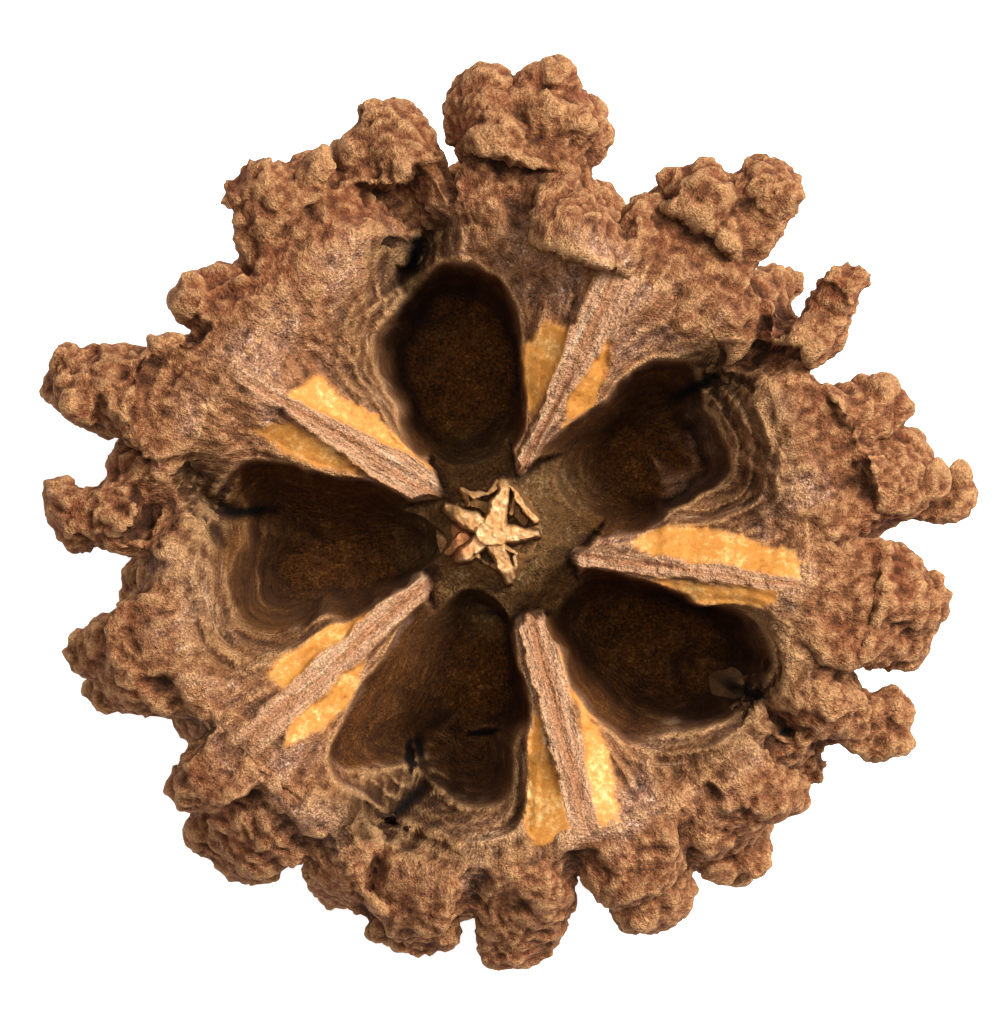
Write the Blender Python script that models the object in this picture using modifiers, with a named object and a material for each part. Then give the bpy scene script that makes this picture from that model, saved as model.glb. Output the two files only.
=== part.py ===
"""Dried seed capsule, split open at the top: one woody piece with five chambers and a knobbly husk.

The frame is in metres, +Z up. The origin is the centre of the small flat spot that the capsule
rests on. Looking down on the open mouth with +Y up, angles run anticlockwise from +X.
"""

import math

import bmesh
import bpy
import numpy as np
from mathutils import Vector

MM = 0.001

# Driving dimensions, in millimetres and degrees
BODY_RADIUS = 18.1
EQUATOR_HEIGHT = 15.5
CREST_HEIGHT = 23.4
BASE_SINK = 0.3
WALL_ROUNDNESS = 0.8
LEAN_TOWARDS = 62.0
LEAN = 1.1

CREST_INSET = 4.6
SHOULDER_FULLNESS = 1.7

# The septa, one between each two chambers: both ends of the middle line of its top edge, the half
# thickness of that edge at each end, and how far from the axis it stops
SEPTA = (
    ((-3.65, -2.55), (-11.5, -9.6), 0.70, 1.05, 4.5),
    ((1.70, -4.40), (5.0, -16.5), 0.80, 1.30, 4.7),
    ((4.10, -1.30), (14.0, -2.6), 0.55, 0.50, 4.2),
    ((1.20, 3.00), (5.6, 11.6), 0.45, 0.75, 3.3),
    ((-3.00, 1.85), (-12.0, 7.2), 0.70, 0.80, 3.5),
)
SEPTUM_DROP = 5.0
FACET_FALL, FACET_WIDTH, FACET_STEP = 0.62, 2.4, 0.35

# The chambers: the middle, how far the rim lies from there at every 22.5 degrees, the middle,
# half axes and turn of the deep floor, its height, and the side where growth lines show
CHAMBERS = (
    (
        (-2.4, 8.8),
        (3.7, 3.9, 4.45, 5.0, 5.1, 4.8, 4.5, 5.1, 5.0, 4.6, 4.55, 5.15, 6.1, 5.9, 5.35, 4.2),
        (-1.7, 8.6, 2.7, 3.4, 0.0), 7.4, 170.0,
    ),
    (
        (8.0, 4.2),
        (6.1, 5.9, 5.9, 5.0, 4.65, 3.95, 3.6, 4.1, 5.6, 6.3, 6.0, 5.0, 4.2, 4.0, 5.1, 6.3),
        (8.5, 3.8, 2.3, 2.0, 0.0), 7.6, -12.0,
    ),
    (
        (8.6, -6.2),
        (6.5, 5.5, 3.25, 3.05, 3.35, 4.2, 5.9, 6.7, 5.45, 5.15, 4.95, 5.2, 5.3, 5.4, 5.8, 6.3),
        (8.9, -6.0, 3.5, 2.3, -20.0), 7.6, -30.0,
    ),
    (
        (-2.0, -9.5),
        (3.8, 3.8, 4.2, 6.2, 6.6, 5.9, 5.05, 5.1, 5.75, 7.2, 6.4, 6.2, 6.5, 6.8, 5.2, 3.8),
        (-0.5, -7.2, 1.3, 2.9, 3.0), 7.4, -100.0,
    ),
    (
        (-9.0, -0.8),
        (6.8, 5.5, 4.5, 3.85, 3.7, 4.6, 6.1, 6.3, 6.0, 6.5, 7.2, 6.2, 4.4, 4.2, 4.2, 5.0),
        (-7.6, -1.9, 2.8, 1.2, 12.0), 8.0, 215.0,
    ),
)
LIP_DROP, LIP_RUN = 1.7, 0.3
LEDGE_STEP, LEDGE_RISE = 1.5, 0.22
CENTRE_FLOOR, BASIN_FALL, BASIN_REACH = 12.8, 0.55, 5.6

# The cracks between the valves, one to a chamber: azimuth, valley depth and half width,
# slit depth and half width
CRACKS = (
    (-109.0, 3.6, 2.4, 1.8, 0.50),
    (-34.0, 2.6, 1.7, 2.4, 0.50),
    (34.0, 3.2, 1.6, 2.2, 0.55),
    (107.0, 3.6, 2.2, 3.8, 0.90),
    (176.0, 4.0, 2.2, 1.6, 0.50),
)
CRACK_INSET = 1.3
CRACK_WANDER = 0.7

COLUMN_TOP = 15.8
COLUMN_CORE, COLUMN_RAY = 1.0, 2.0

# The knobs of the rim: azimuth, distance of the head from the axis, its height, its radius,
# and the azimuth of the root, all in degrees and millimetres
RIM_KNOBS = (
    (90.2, 21.2, 18.6, 2.5, 88.0),
    (84.6, 22.4, 19.2, 1.9, 84.0),
    (80.9, 20.9, 19.6, 2.2, 82.0),
    (63.0, 18.6, 18.8, 1.2, 61.0),
    (58.6, 19.8, 20.2, 2.0, 57.0),
    (51.4, 21.1, 20.0, 2.4, 51.0),
    (40.0, 19.0, 16.8, 1.5, 41.0),
    (33.0, 17.8, 17.4, 1.6, 32.0),
    (35.4, 21.7, 21.0, 1.4, 26.0),
    (17.4, 19.9, 19.0, 2.0, 17.0),
    (8.2, 20.4, 18.0, 2.7, 8.0),
    (4.6, 23.4, 17.4, 1.35, 6.0),
    (-9.8, 21.2, 18.8, 2.1, -10.0),
    (-14.6, 21.4, 17.4, 1.8, -14.0),
    (-27.2, 22.2, 16.4, 1.9, -27.0),
    (-37.0, 20.4, 14.2, 1.3, -37.0),
    (-43.9, 20.0, 18.2, 1.4, -44.0),
    (-52.5, 20.7, 15.4, 1.9, -51.0),
    (-66.4, 20.4, 17.0, 2.3, -66.0),
    (-86.3, 20.8, 16.2, 2.2, -86.0),
    (-99.8, 20.8, 16.0, 1.8, -100.0),
    (-105.0, 20.7, 15.2, 1.6, -105.0),
    (-110.2, 20.0, 14.2, 1.3, -110.0),
    (-114.8, 20.6, 13.2, 1.2, -114.0),
    (-129.4, 21.0, 13.6, 2.4, -129.0),
    (-140.5, 20.2, 18.2, 1.3, -140.0),
    (-157.0, 20.9, 15.0, 1.8, -157.0),
    (-163.2, 20.8, 17.6, 2.1, -163.0),
    (177.2, 21.5, 17.8, 1.9, 177.0),
    (170.8, 19.2, 14.4, 1.3, 171.0),
    (160.6, 22.5, 18.8, 2.2, 160.0),
    (155.5, 19.4, 19.6, 1.9, 155.0),
    (152.0, 17.8, 21.6, 1.3, 152.0),
    (141.5, 18.3, 19.8, 2.0, 141.0),
    (133.5, 18.0, 14.6, 1.3, 133.0),
    (127.8, 19.4, 18.8, 1.9, 128.0),
    (124.4, 21.4, 20.2, 1.8, 124.0),
    (118.2, 20.6, 19.2, 1.8, 118.0),
    (111.0, 19.6, 18.0, 1.7, 111.0),
    (105.6, 20.7, 19.0, 2.1, 106.0),
    (73.5, 15.9, 23.2, 1.7, 73.0),
)
# The ranks of knobs down the husk: height of the roots, how far the heads stand out, their
# size in rim-knob radii, and which rim knobs have one below them, counting every so many
LOWER_RANKS = (
    (12.2, 2.4, 0.85, 1),
    (8.6, 2.6, 0.90, 1),
    (5.4, 2.4, 0.85, 2),
    (3.0, 1.8, 0.75, 2),
    (1.3, 1.0, 0.60, 3),
)
LEAST_RANK_RADIUS = 1.5
MOST_RANK_RADIUS = 2.0
RANK_OVERHANG = 1.4
KNOB_SEED = 12
KNOB_FLARE, KNOB_FLARE_REACH = 0.7, 1.6
KNOB_NECK = 0.84
ROOT_DEPTH = 2.6
# Knobs rise above the shoulder only from this share of the husk's radius outwards, but for the
# pale knob that stands on the crest, here
SHOULDER_SHARE, SHOULDER_RUN, KNOB_RISE = 0.90, 0.16, 7.0
PALE_KNOB, PALE_KNOB_REACH = (4.4, 15.3), 2.6
WARTS = 5
WART_SIZE = (0.40, 0.60)

# Mesh resolution, in faces and millimetres
SKIN_COLUMNS, SKIN_ROWS = 288, 176
KNOB_COLUMNS, KNOB_ROWS = 16, 12
FUSING_VOXEL = 0.42
MOST_TRIANGLES = 11400

WOOD_COLOUR = (0.36, 0.20, 0.10, 1.0)
WOOD_ROUGHNESS = 0.85


def clear_scene():
    for obj in list(bpy.data.objects):
        bpy.data.objects.remove(obj, do_unlink=True)


def smooth_step(x):
    x = np.clip(x, 0.0, 1.0)
    return x * x * (3.0 - 2.0 * x)


def lattice_value(i, j, k, seed):
    """A repeatable number from 0 to 1 for each point of a whole-number lattice."""
    h = i * 374761393 + j * 668265263 + k * 2147483647 + seed * 974634777
    h = (h ^ (h >> 13)) * 1274126177 & 0xFFFFFFFF
    h = (h ^ (h >> 16)) & 0xFFFFFFFF
    return h / 0xFFFFFFFF


def value_noise(points, scale, seed):
    """Smooth noise from -1 to 1: lattice values blended over cells that are scale wide."""
    cells = points / scale
    whole = np.floor(cells).astype(np.int64)
    part = smooth_step(cells - whole)
    total = np.zeros(len(points))
    for corner in np.ndindex(2, 2, 2):
        weight = np.prod(np.where(corner, part, 1.0 - part), axis=1)
        total += weight * lattice_value(*(whole + corner).T, seed)
    return 2.0 * total - 1.0


def across_line(x, y, degrees):
    """Distances along and to the left of a ray from the axis at this angle."""
    a = math.radians(degrees)
    return x * math.cos(a) + y * math.sin(a), y * math.cos(a) - x * math.sin(a)


def crack_shares(x, y):
    """For each crack in turn: its row in CRACKS, and the distance to the left of its wavy line."""
    for number, row in enumerate(CRACKS):
        along, across = across_line(x, y, row[0])
        wander = CRACK_WANDER * value_noise(np.column_stack((along, 0 * along, 0 * along)), 2.3, number)
        yield row, np.where(along > 0, across - wander, 99.0)


def crack_depth(x, y):
    """How far the cracks lower the surface: a broad valley with a narrow slit along it."""
    depth = np.zeros_like(x)
    for (_, valley, valley_width, slit, slit_width), across in crack_shares(x, y):
        groove = valley * np.exp(-((across / valley_width) ** 2))
        depth = np.maximum(depth, groove + slit * np.exp(-((across / slit_width) ** 2)))
    return depth


def body_radius(angle):
    """The husk's radius under the knobs: wider away from LEAN_TOWARDS, and let in at the cracks."""
    lean = LEAN * np.cos(angle - math.radians(LEAN_TOWARDS))
    swell = 0.35 * np.cos(3 * angle + 1.0) + 0.3 * np.cos(7 * angle)
    inset = np.zeros_like(angle)
    for row, across in crack_shares(BODY_RADIUS * np.cos(angle), BODY_RADIUS * np.sin(angle)):
        inset = np.maximum(inset, CRACK_INSET * np.exp(-((across / (0.6 * row[2])) ** 2)))
    return BODY_RADIUS - lean + swell - inset


def column_mask(x, y):
    """1 on the five-pointed stump of the central column, whose rays face the septa."""
    angle = np.arctan2(y, x)
    nearest = np.full_like(x, math.pi)
    for inner, _, _, _, _ in SEPTA:
        turn = np.abs((angle - math.atan2(inner[1], inner[0]) + math.pi) % (2 * math.pi) - math.pi)
        nearest = np.minimum(nearest, turn)
    reach = COLUMN_CORE + COLUMN_RAY * np.exp(-((nearest / 0.2) ** 2))
    return 1.0 - smooth_step((np.hypot(x, y) - reach) / 0.5)


def closed_height(x, y, rim):
    """Height of the rim and septa as if no chamber were let in, and the share of the shoulder."""
    radius = np.hypot(x, y)
    crest_radius = rim - CREST_INSET
    outward = np.clip((radius - crest_radius) / CREST_INSET, 0.0, 1.0)
    shoulder = (1.0 - outward**SHOULDER_FULLNESS) ** (1.0 / SHOULDER_FULLNESS)
    dome = EQUATOR_HEIGHT + (CREST_HEIGHT - EQUATOR_HEIGHT) * shoulder
    inward = np.clip((crest_radius - radius) / (crest_radius - 4.0), 0.0, 1.0)
    return dome - SEPTUM_DROP * inward**1.25, outward


def beyond_septum(x, y):
    """Distance from the top edge of the nearest septum, 0 on it."""
    nearest = np.full_like(x, 99.0)
    for inner, outer, start, end, _ in SEPTA:
        run = Vector(outer) - Vector(inner)
        length, aim = run.length, run.normalized()
        along = (x - inner[0]) * aim.x + (y - inner[1]) * aim.y
        across = np.abs((y - inner[1]) * aim.x - (x - inner[0]) * aim.y)
        behind = 4.0 * np.maximum(-along - 1.0, 0.0)
        band = start + (end - start) * smooth_step(along / length)
        nearest = np.minimum(nearest, np.maximum(across - band, 0.0) + behind)
    return nearest


def rim_reach(radii, angle):
    """A chamber's rim at this angle round its middle: a closed curve through the given radii."""
    place = angle % (2 * math.pi) / (2 * math.pi) * len(radii)
    first = np.floor(place).astype(int)
    f = place - first
    a, b, c, d = (np.take(radii, (first + step) % len(radii)) for step in (-1, 0, 1, 2))
    bend = (c - a) * f + (2 * a - 5 * b + 4 * c - d) * f**2 + (3 * b - a - 3 * c + d) * f**3
    return b + 0.5 * bend


def by_chamber(x, y):
    """For the chamber whose rim is nearest: distance inside the rim, share of the way from there
    to the deep floor, the floor's height, and how much its growth lines show."""
    inside = np.full_like(x, -99.0)
    share, floor_height, lined = np.zeros_like(x), np.zeros_like(x), np.zeros_like(x)
    for middle, radii, (floor_x, floor_y, half_a, half_b, tilt), height, lines in CHAMBERS:
        angle = np.arctan2(y - middle[1], x - middle[0])
        depth = rim_reach(radii, angle) - np.hypot(x - middle[0], y - middle[1])
        along, across = across_line(x - floor_x, y - floor_y, tilt)
        ring = np.hypot(along / half_a, across / half_b)
        to_floor = np.maximum(ring - 1.0, 0.0) * min(half_a, half_b)
        wall_share = np.clip(depth, 0.0, None) / (np.clip(depth, 1e-6, None) + to_floor)
        facing = smooth_step((np.cos(angle - math.radians(lines)) - 0.1) / 0.6)
        nearer = depth > inside
        inside, share = np.where(nearer, depth, inside), np.where(nearer, wall_share, share)
        floor_height, lined = np.where(nearer, height, floor_height), np.where(nearer, facing, lined)
    return inside, share, floor_height, lined


def basin_reach(angle):
    """How far the hollow round the column reaches: to the septa's ends, and further between."""
    reach = np.full_like(angle, BASIN_REACH)
    for inner, _, _, _, end in SEPTA:
        turn = (angle - math.atan2(inner[1], inner[0]) + math.pi) % (2 * math.pi) - math.pi
        reach -= (BASIN_REACH - end) * np.exp(-((turn / 0.24) ** 2))
    return reach


def top_height(x, y, rim):
    """Height of the upper surface: a rounded rim and five septa, with the chambers let in.

    Each chamber drops at a sharp lip and then runs down to its deep floor, steeply at the septa
    and in ledges on the outer side. Round the column the septa end at a hollow."""
    radius = np.hypot(x, y)
    closed, outward = closed_height(x, y, rim)
    beyond = np.minimum(beyond_septum(x, y), FACET_WIDTH)
    top = closed - FACET_FALL * beyond * smooth_step((0.97 * rim - radius) / 4.0)
    top -= FACET_STEP * smooth_step(beyond / 0.12) * smooth_step((15.0 - radius) / 3.0)
    inside, share, floor, lined = by_chamber(x, y)
    lip = LIP_DROP * (1.0 - 0.85 * lined) * smooth_step(inside / LIP_RUN)
    steep, easy = 1.0 - (1.0 - share) ** 1.7, 0.45 * share + 0.55 * share**2.2
    height = top - lip - (top - lip - floor) * (steep + (easy - steep) * lined) * (inside > 0)
    ledges = LEDGE_RISE * np.sin(2 * math.pi * inside / LEDGE_STEP)
    height += ledges * lined * smooth_step(inside) * smooth_step((0.95 - share) / 0.4)
    edge = smooth_step((radius - basin_reach(np.arctan2(y, x))) / 0.5)
    height = np.minimum(height, CENTRE_FLOOR - BASIN_FALL * np.maximum(radius - 2.6, 0.0) + 12.0 * edge)
    height += (COLUMN_TOP - CENTRE_FLOOR) * column_mask(x, y)
    crack = crack_depth(x, y) * smooth_step((radius - 10.5) / 4.5)
    return height - crack * (1.0 - 0.75 * outward**2)


def lid_height(x, y):
    """The height that nothing rises above: the upper surface itself over the chambers and the
    shoulder, then higher and higher outwards, where the knobs stand."""
    rim = body_radius(np.arctan2(y, x))
    crack = crack_depth(x, y)
    share = np.hypot(x, y) / rim + 0.017 * crack
    lid = top_height(x, y, rim) + KNOB_RISE * smooth_step((share - SHOULDER_SHARE) / SHOULDER_RUN)
    from_knob = np.hypot(x - PALE_KNOB[0], y - PALE_KNOB[1])
    return lid + KNOB_RISE * np.exp(-((from_knob / PALE_KNOB_REACH) ** 4))


def side_point(rim, below):
    """Distance from the axis and height of the husk's side, at an angle below its widest line."""
    radius = rim * np.cos(below) ** WALL_ROUNDNESS
    return radius, EQUATOR_HEIGHT - (EQUATOR_HEIGHT + BASE_SINK) * np.sin(below)


def skin_point(direction):
    """Where a point of the unit sphere goes on the capsule's skin, before the knobs.

    The southern half becomes the husk's side and base, and the northern half becomes the rim,
    the chambers and the column, with rings evenly spaced from the rim to the axis.
    """
    polar = np.arctan2(np.hypot(direction[:, 0], direction[:, 1]), direction[:, 2])
    azimuth = np.arctan2(direction[:, 1], direction[:, 0])
    rim = body_radius(azimuth)
    side_radius, side_height = side_point(rim, np.maximum(polar - math.pi / 2, 0.0))
    top_radius = np.maximum(rim * np.minimum(polar / (math.pi / 2), 1.0), 1e-6)
    upper = polar < math.pi / 2
    radius = np.where(upper, top_radius, side_radius)
    x, y = np.cos(azimuth) * radius, np.sin(azimuth) * radius
    height = np.where(upper, top_height(x, y, rim), side_height)
    return np.column_stack((x, y, height))


def mesh_points(bm):
    return np.array([vertex.co for vertex in bm.verts])


def move_points(bm, points):
    for vertex, point in zip(bm.verts, points):
        vertex.co = point


def add_skin(bm):
    """The husk, rim, septa, chambers and column as one closed skin, lumpy outside the chambers."""
    part = bmesh.new()
    bmesh.ops.create_uvsphere(part, u_segments=SKIN_COLUMNS, v_segments=SKIN_ROWS, radius=1.0)
    points = skin_point(mesh_points(part))
    lumps = 0.6 * value_noise(points, 4.1, 3) + 0.35 * value_noise(points, 2.0, 4)
    radius = np.hypot(points[:, 0], points[:, 1])
    lumps *= smooth_step((radius - 12.0) / 3.0)
    points[:, :2] *= (1.0 + lumps / np.maximum(radius, 1.0))[:, None]
    points[:, 2] += lumps * (points[:, 2] > 1.5)
    move_points(part, points)
    join_into(bm, part)


def join_into(bm, part):
    mesh = bpy.data.meshes.new("piece")
    part.to_mesh(mesh)
    part.free()
    bm.from_mesh(mesh)
    bpy.data.meshes.remove(mesh)


def add_knob(bm, surface, head, head_radius, seed):
    """One knob: it flares where it leaves the husk, narrows to a neck and swells to a lumpy head."""
    part = bmesh.new()
    bmesh.ops.create_uvsphere(part, u_segments=KNOB_COLUMNS, v_segments=KNOB_ROWS, radius=1.0)
    unit = mesh_points(part)
    axis = head - surface
    outside = axis.length + 0.85 * head_radius
    turn = np.array(axis.to_track_quat("Z", "Y").to_matrix())
    along = (unit[:, 2] + 1.0) / 2.0 * (outside + ROOT_DEPTH) - ROOT_DEPTH
    flare = KNOB_FLARE * np.exp(-((np.maximum(along, 0.0) / KNOB_FLARE_REACH) ** 2))
    swell = KNOB_NECK + (1.0 - KNOB_NECK) * smooth_step((along / outside - 0.25) / 0.45)
    lumps = 1.0 + 0.2 * value_noise(unit, 0.9, seed) + 0.14 * value_noise(unit, 0.45, seed + 1)
    round_off = np.maximum(1.0 - unit[:, 2] ** 2, 0.1) ** -0.2
    local = unit * ((head_radius * swell + flare) * lumps * round_off)[:, None]
    local[:, 2] = along
    bend = 0.5 * np.sin(math.pi * np.clip(along / outside, 0.0, 1.0))
    local[:, 0] += bend * math.cos(seed)
    local[:, 1] += bend * math.sin(seed)
    move_points(part, local @ turn.T + np.array(surface))
    join_into(bm, part)
    add_warts(bm, head, axis.normalized(), head_radius, seed)


def add_warts(bm, head, outward, head_radius, seed):
    """Low bumps around the outer half of a knob's head, sunk well into it."""
    draw = np.random.default_rng(seed)
    for _ in range(WARTS):
        aim = (Vector(draw.normal(size=3)).normalized() + 0.55 * outward).normalized()
        radius = head_radius * draw.uniform(*WART_SIZE)
        part = bmesh.new()
        bmesh.ops.create_uvsphere(part, u_segments=10, v_segments=8, radius=radius)
        spot = head + aim * (head_radius * 1.02 - 0.6 * radius)
        bmesh.ops.translate(part, vec=spot, verts=part.verts)
        join_into(bm, part)


def polar_point(degrees, distance, height):
    a = math.radians(degrees)
    return Vector((distance * math.cos(a), distance * math.sin(a), height))


def husk_point(degrees, height):
    """A point of the husk's side under the knobs, above or below its widest line."""
    rim = float(body_radius(np.array([math.radians(degrees)]))[0])
    if height > EQUATOR_HEIGHT:
        rise = (height - EQUATOR_HEIGHT) / (CREST_HEIGHT - EQUATOR_HEIGHT)
        outward = (1.0 - min(rise, 0.95) ** SHOULDER_FULLNESS) ** (1.0 / SHOULDER_FULLNESS)
        return polar_point(degrees, rim - CREST_INSET * (1.0 - outward), height)
    below = math.asin((EQUATOR_HEIGHT - height) / (EQUATOR_HEIGHT + BASE_SINK))
    return polar_point(degrees, rim * math.cos(below) ** WALL_ROUNDNESS, height)


def add_rim_knobs(bm):
    for number, (azimuth, distance, height, radius, root_azimuth) in enumerate(RIM_KNOBS):
        surface = husk_point(root_azimuth, 0.8 * height + 0.2 * EQUATOR_HEIGHT)
        add_knob(bm, surface, polar_point(azimuth, distance, height), radius, 20 + 2 * number)


def add_lower_knobs(bm):
    """Ranks of knobs down the husk, kept under the rim knobs, with a seeded jitter."""
    draw = np.random.default_rng(KNOB_SEED)
    ranked = [row for row in RIM_KNOBS if row[3] >= LEAST_RANK_RADIUS]
    for rank, (height, stand_out, size, every) in enumerate(LOWER_RANKS):
        for number, (azimuth, distance, _, radius, _) in enumerate(ranked[::every]):
            azimuth += draw.uniform(-3.0, 3.0) * (rank + 1)
            surface = husk_point(azimuth, height + draw.uniform(-1.2, 1.2))
            outward = Vector((surface.x, surface.y, 0.0)).normalized()
            outward.z = -0.25 * rank - draw.uniform(0.0, 0.3)
            outward.normalize()
            radius = min(radius, MOST_RANK_RADIUS) * size * draw.uniform(0.85, 1.2)
            reach = stand_out * draw.uniform(0.8, 1.2) - 0.5 * radius
            reach = min(reach, distance - RANK_OVERHANG - surface.xy.length)
            add_knob(bm, surface, surface + outward * max(reach, 0.4), radius, 200 + 60 * rank + number)


def wood_material():
    material = bpy.data.materials.new("dry_wood")
    material.use_nodes = True
    shader = material.node_tree.nodes["Principled BSDF"]
    shader.inputs["Base Color"].default_value = WOOD_COLOUR
    shader.inputs["Roughness"].default_value = WOOD_ROUGHNESS
    shader.inputs["Metallic"].default_value = 0.0
    return material


def add_ground_cutter(collection):
    """A box below the capsule, which cuts the flat spot that it rests on."""
    bm = bmesh.new()
    bmesh.ops.create_cube(bm, size=0.1)
    mesh = bpy.data.meshes.new("ground_cutter")
    bm.to_mesh(mesh)
    bm.free()
    cutter = bpy.data.objects.new("ground_cutter", mesh)
    cutter.location = (0.0, 0.0, -0.05)
    cutter.hide_render = True
    cutter.display_type = "WIRE"
    collection.objects.link(cutter)
    return cutter


def fused_mesh(bm):
    """The skin and knobs grown together into one surface, without scraps or sealed hollows."""
    loose = bpy.data.objects.new("loose", bpy.data.meshes.new("loose"))
    bm.to_mesh(loose.data)
    bm.free()
    bpy.context.scene.collection.objects.link(loose)
    fuse = loose.modifiers.new("fuse", "REMESH")
    fuse.mode = "VOXEL"
    fuse.voxel_size = FUSING_VOXEL * MM
    bpy.context.view_layer.update()
    evaluated = loose.evaluated_get(bpy.context.evaluated_depsgraph_get())
    mesh = bpy.data.meshes.new_from_object(evaluated)
    bpy.data.objects.remove(loose)
    mesh.name = "capsule"
    keep_largest_shell(mesh)
    press_under_lid(mesh)
    return mesh


def press_under_lid(mesh):
    """Lowers the knobs' roots to the upper surface where they would stand out of it."""
    points = np.array([vertex.co for vertex in mesh.vertices]) / MM
    radius = np.hypot(points[:, 0], points[:, 1])
    near = radius < 1.1 * body_radius(np.arctan2(points[:, 1], points[:, 0]))
    lid = lid_height(points[:, 0], points[:, 1])
    points[:, 2] = np.where(near, np.minimum(points[:, 2], lid), points[:, 2])
    mesh.vertices.foreach_set("co", (points * MM).astype(np.float32).ravel())


def keep_largest_shell(mesh):
    """Drops every shell of the mesh but the one with the most points."""
    bm = bmesh.new()
    bm.from_mesh(mesh)
    shells, seen = [], set()
    for start in bm.verts:
        if start in seen:
            continue
        shell, front = {start}, [start]
        while front:
            vertex = front.pop()
            for edge in vertex.link_edges:
                other = edge.other_vert(vertex)
                if other not in shell:
                    shell.add(other)
                    front.append(other)
        seen |= shell
        shells.append(shell)
    largest = max(shells, key=len)
    scraps = [vertex for vertex in bm.verts if vertex not in largest]
    bmesh.ops.delete(bm, geom=scraps, context="VERTS")
    bm.to_mesh(mesh)
    bm.free()


def main():
    clear_scene()
    scene_collection = bpy.context.scene.collection
    parts = bpy.data.collections.new("dried_seed_capsule")
    cutters = bpy.data.collections.new("cutters")
    scene_collection.children.link(parts)
    scene_collection.children.link(cutters)

    bm = bmesh.new()
    add_skin(bm)
    add_rim_knobs(bm)
    add_lower_knobs(bm)
    bmesh.ops.scale(bm, vec=(MM, MM, MM), verts=bm.verts)
    mesh = fused_mesh(bm)
    mesh.materials.append(wood_material())
    capsule = bpy.data.objects.new("capsule", mesh)
    parts.objects.link(capsule)

    thin = capsule.modifiers.new("thin", "DECIMATE")
    thin.ratio = MOST_TRIANGLES / sum(len(face.vertices) - 2 for face in mesh.polygons)
    ground = capsule.modifiers.new("ground", "BOOLEAN")
    ground.operation = "DIFFERENCE"
    ground.object = add_ground_cutter(cutters)


main()
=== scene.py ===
"""A dried seed capsule, split open at the top: five deep chambers between thin radial walls, in a
woody husk covered in blunt knobs. Lengths are worked out in millimetres and kept in metres."""

import math

import bpy
import numpy as np
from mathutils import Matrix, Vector


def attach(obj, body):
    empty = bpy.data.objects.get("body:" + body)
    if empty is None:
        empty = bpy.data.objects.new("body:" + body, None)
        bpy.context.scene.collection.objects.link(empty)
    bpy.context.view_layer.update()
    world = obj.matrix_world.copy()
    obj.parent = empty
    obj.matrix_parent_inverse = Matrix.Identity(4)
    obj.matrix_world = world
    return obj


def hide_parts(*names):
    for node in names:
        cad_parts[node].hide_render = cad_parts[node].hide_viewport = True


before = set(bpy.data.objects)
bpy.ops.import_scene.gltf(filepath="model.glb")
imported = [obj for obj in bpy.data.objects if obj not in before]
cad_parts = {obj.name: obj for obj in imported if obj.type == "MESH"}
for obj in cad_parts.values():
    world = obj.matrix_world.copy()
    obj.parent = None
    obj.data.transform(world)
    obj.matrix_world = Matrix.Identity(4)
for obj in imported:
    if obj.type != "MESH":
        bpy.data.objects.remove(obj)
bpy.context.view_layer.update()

# The heart of the capsule. The real thing is one woody shell, grown round five seed chambers that
# thin septa part from each other, and dried until it split. This piece is everything inside the
# crest: the septa with their waxy facets, the pits, and the cracks that run out through the rim.
# Its upper side is a height worked out over a disc; its underside is hidden in the husk.
MM = 0.001

BODY_RADIUS = 18.1
EQUATOR_HEIGHT = 15.5
CREST_HEIGHT = 21.9
BASE_SINK = 0.3
WALL_ROUNDNESS = 0.8
LEAN_TOWARDS, LEAN = math.radians(62.0), 1.1
SWELLS = ((0.35, 3, 1.0), (0.3, 7, 0.0))
CREST_INSET, SHOULDER_FULLNESS = 2.8, 2.2
CENTRE_FLOOR, BASIN_FALL, BASIN_REACH, BASIN_LEVEL_PART = 12.8, 0.55, 5.6, 2.6

# For each septum: both ends of its middle line, the half width of its cut edge at each end, and
# how far from the axis it stops
SEPTA = (
    ((-3.65, -2.55), (-11.5, -9.6), 0.72, 0.80, 4.5),
    ((1.70, -4.40), (5.0, -16.5), 0.85, 0.75, 4.7),
    ((4.10, -1.30), (14.0, -2.6), 0.45, 0.45, 4.2),
    ((1.20, 3.00), (5.6, 11.6), 0.40, 0.95, 3.3),
    ((-3.00, 1.85), (-12.0, 7.2), 1.00, 0.45, 3.5),
)
SEPTUM_DROP = 3.2
FACET_FALL, FACET_WIDTH = 0.62, 2.4
# How far the cut edges stand over the facets, over what run, and where that ends
EDGE_STEP, EDGE_STEP_RUN, EDGE_STEP_END = 0.35, 0.12, 15.0

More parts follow.
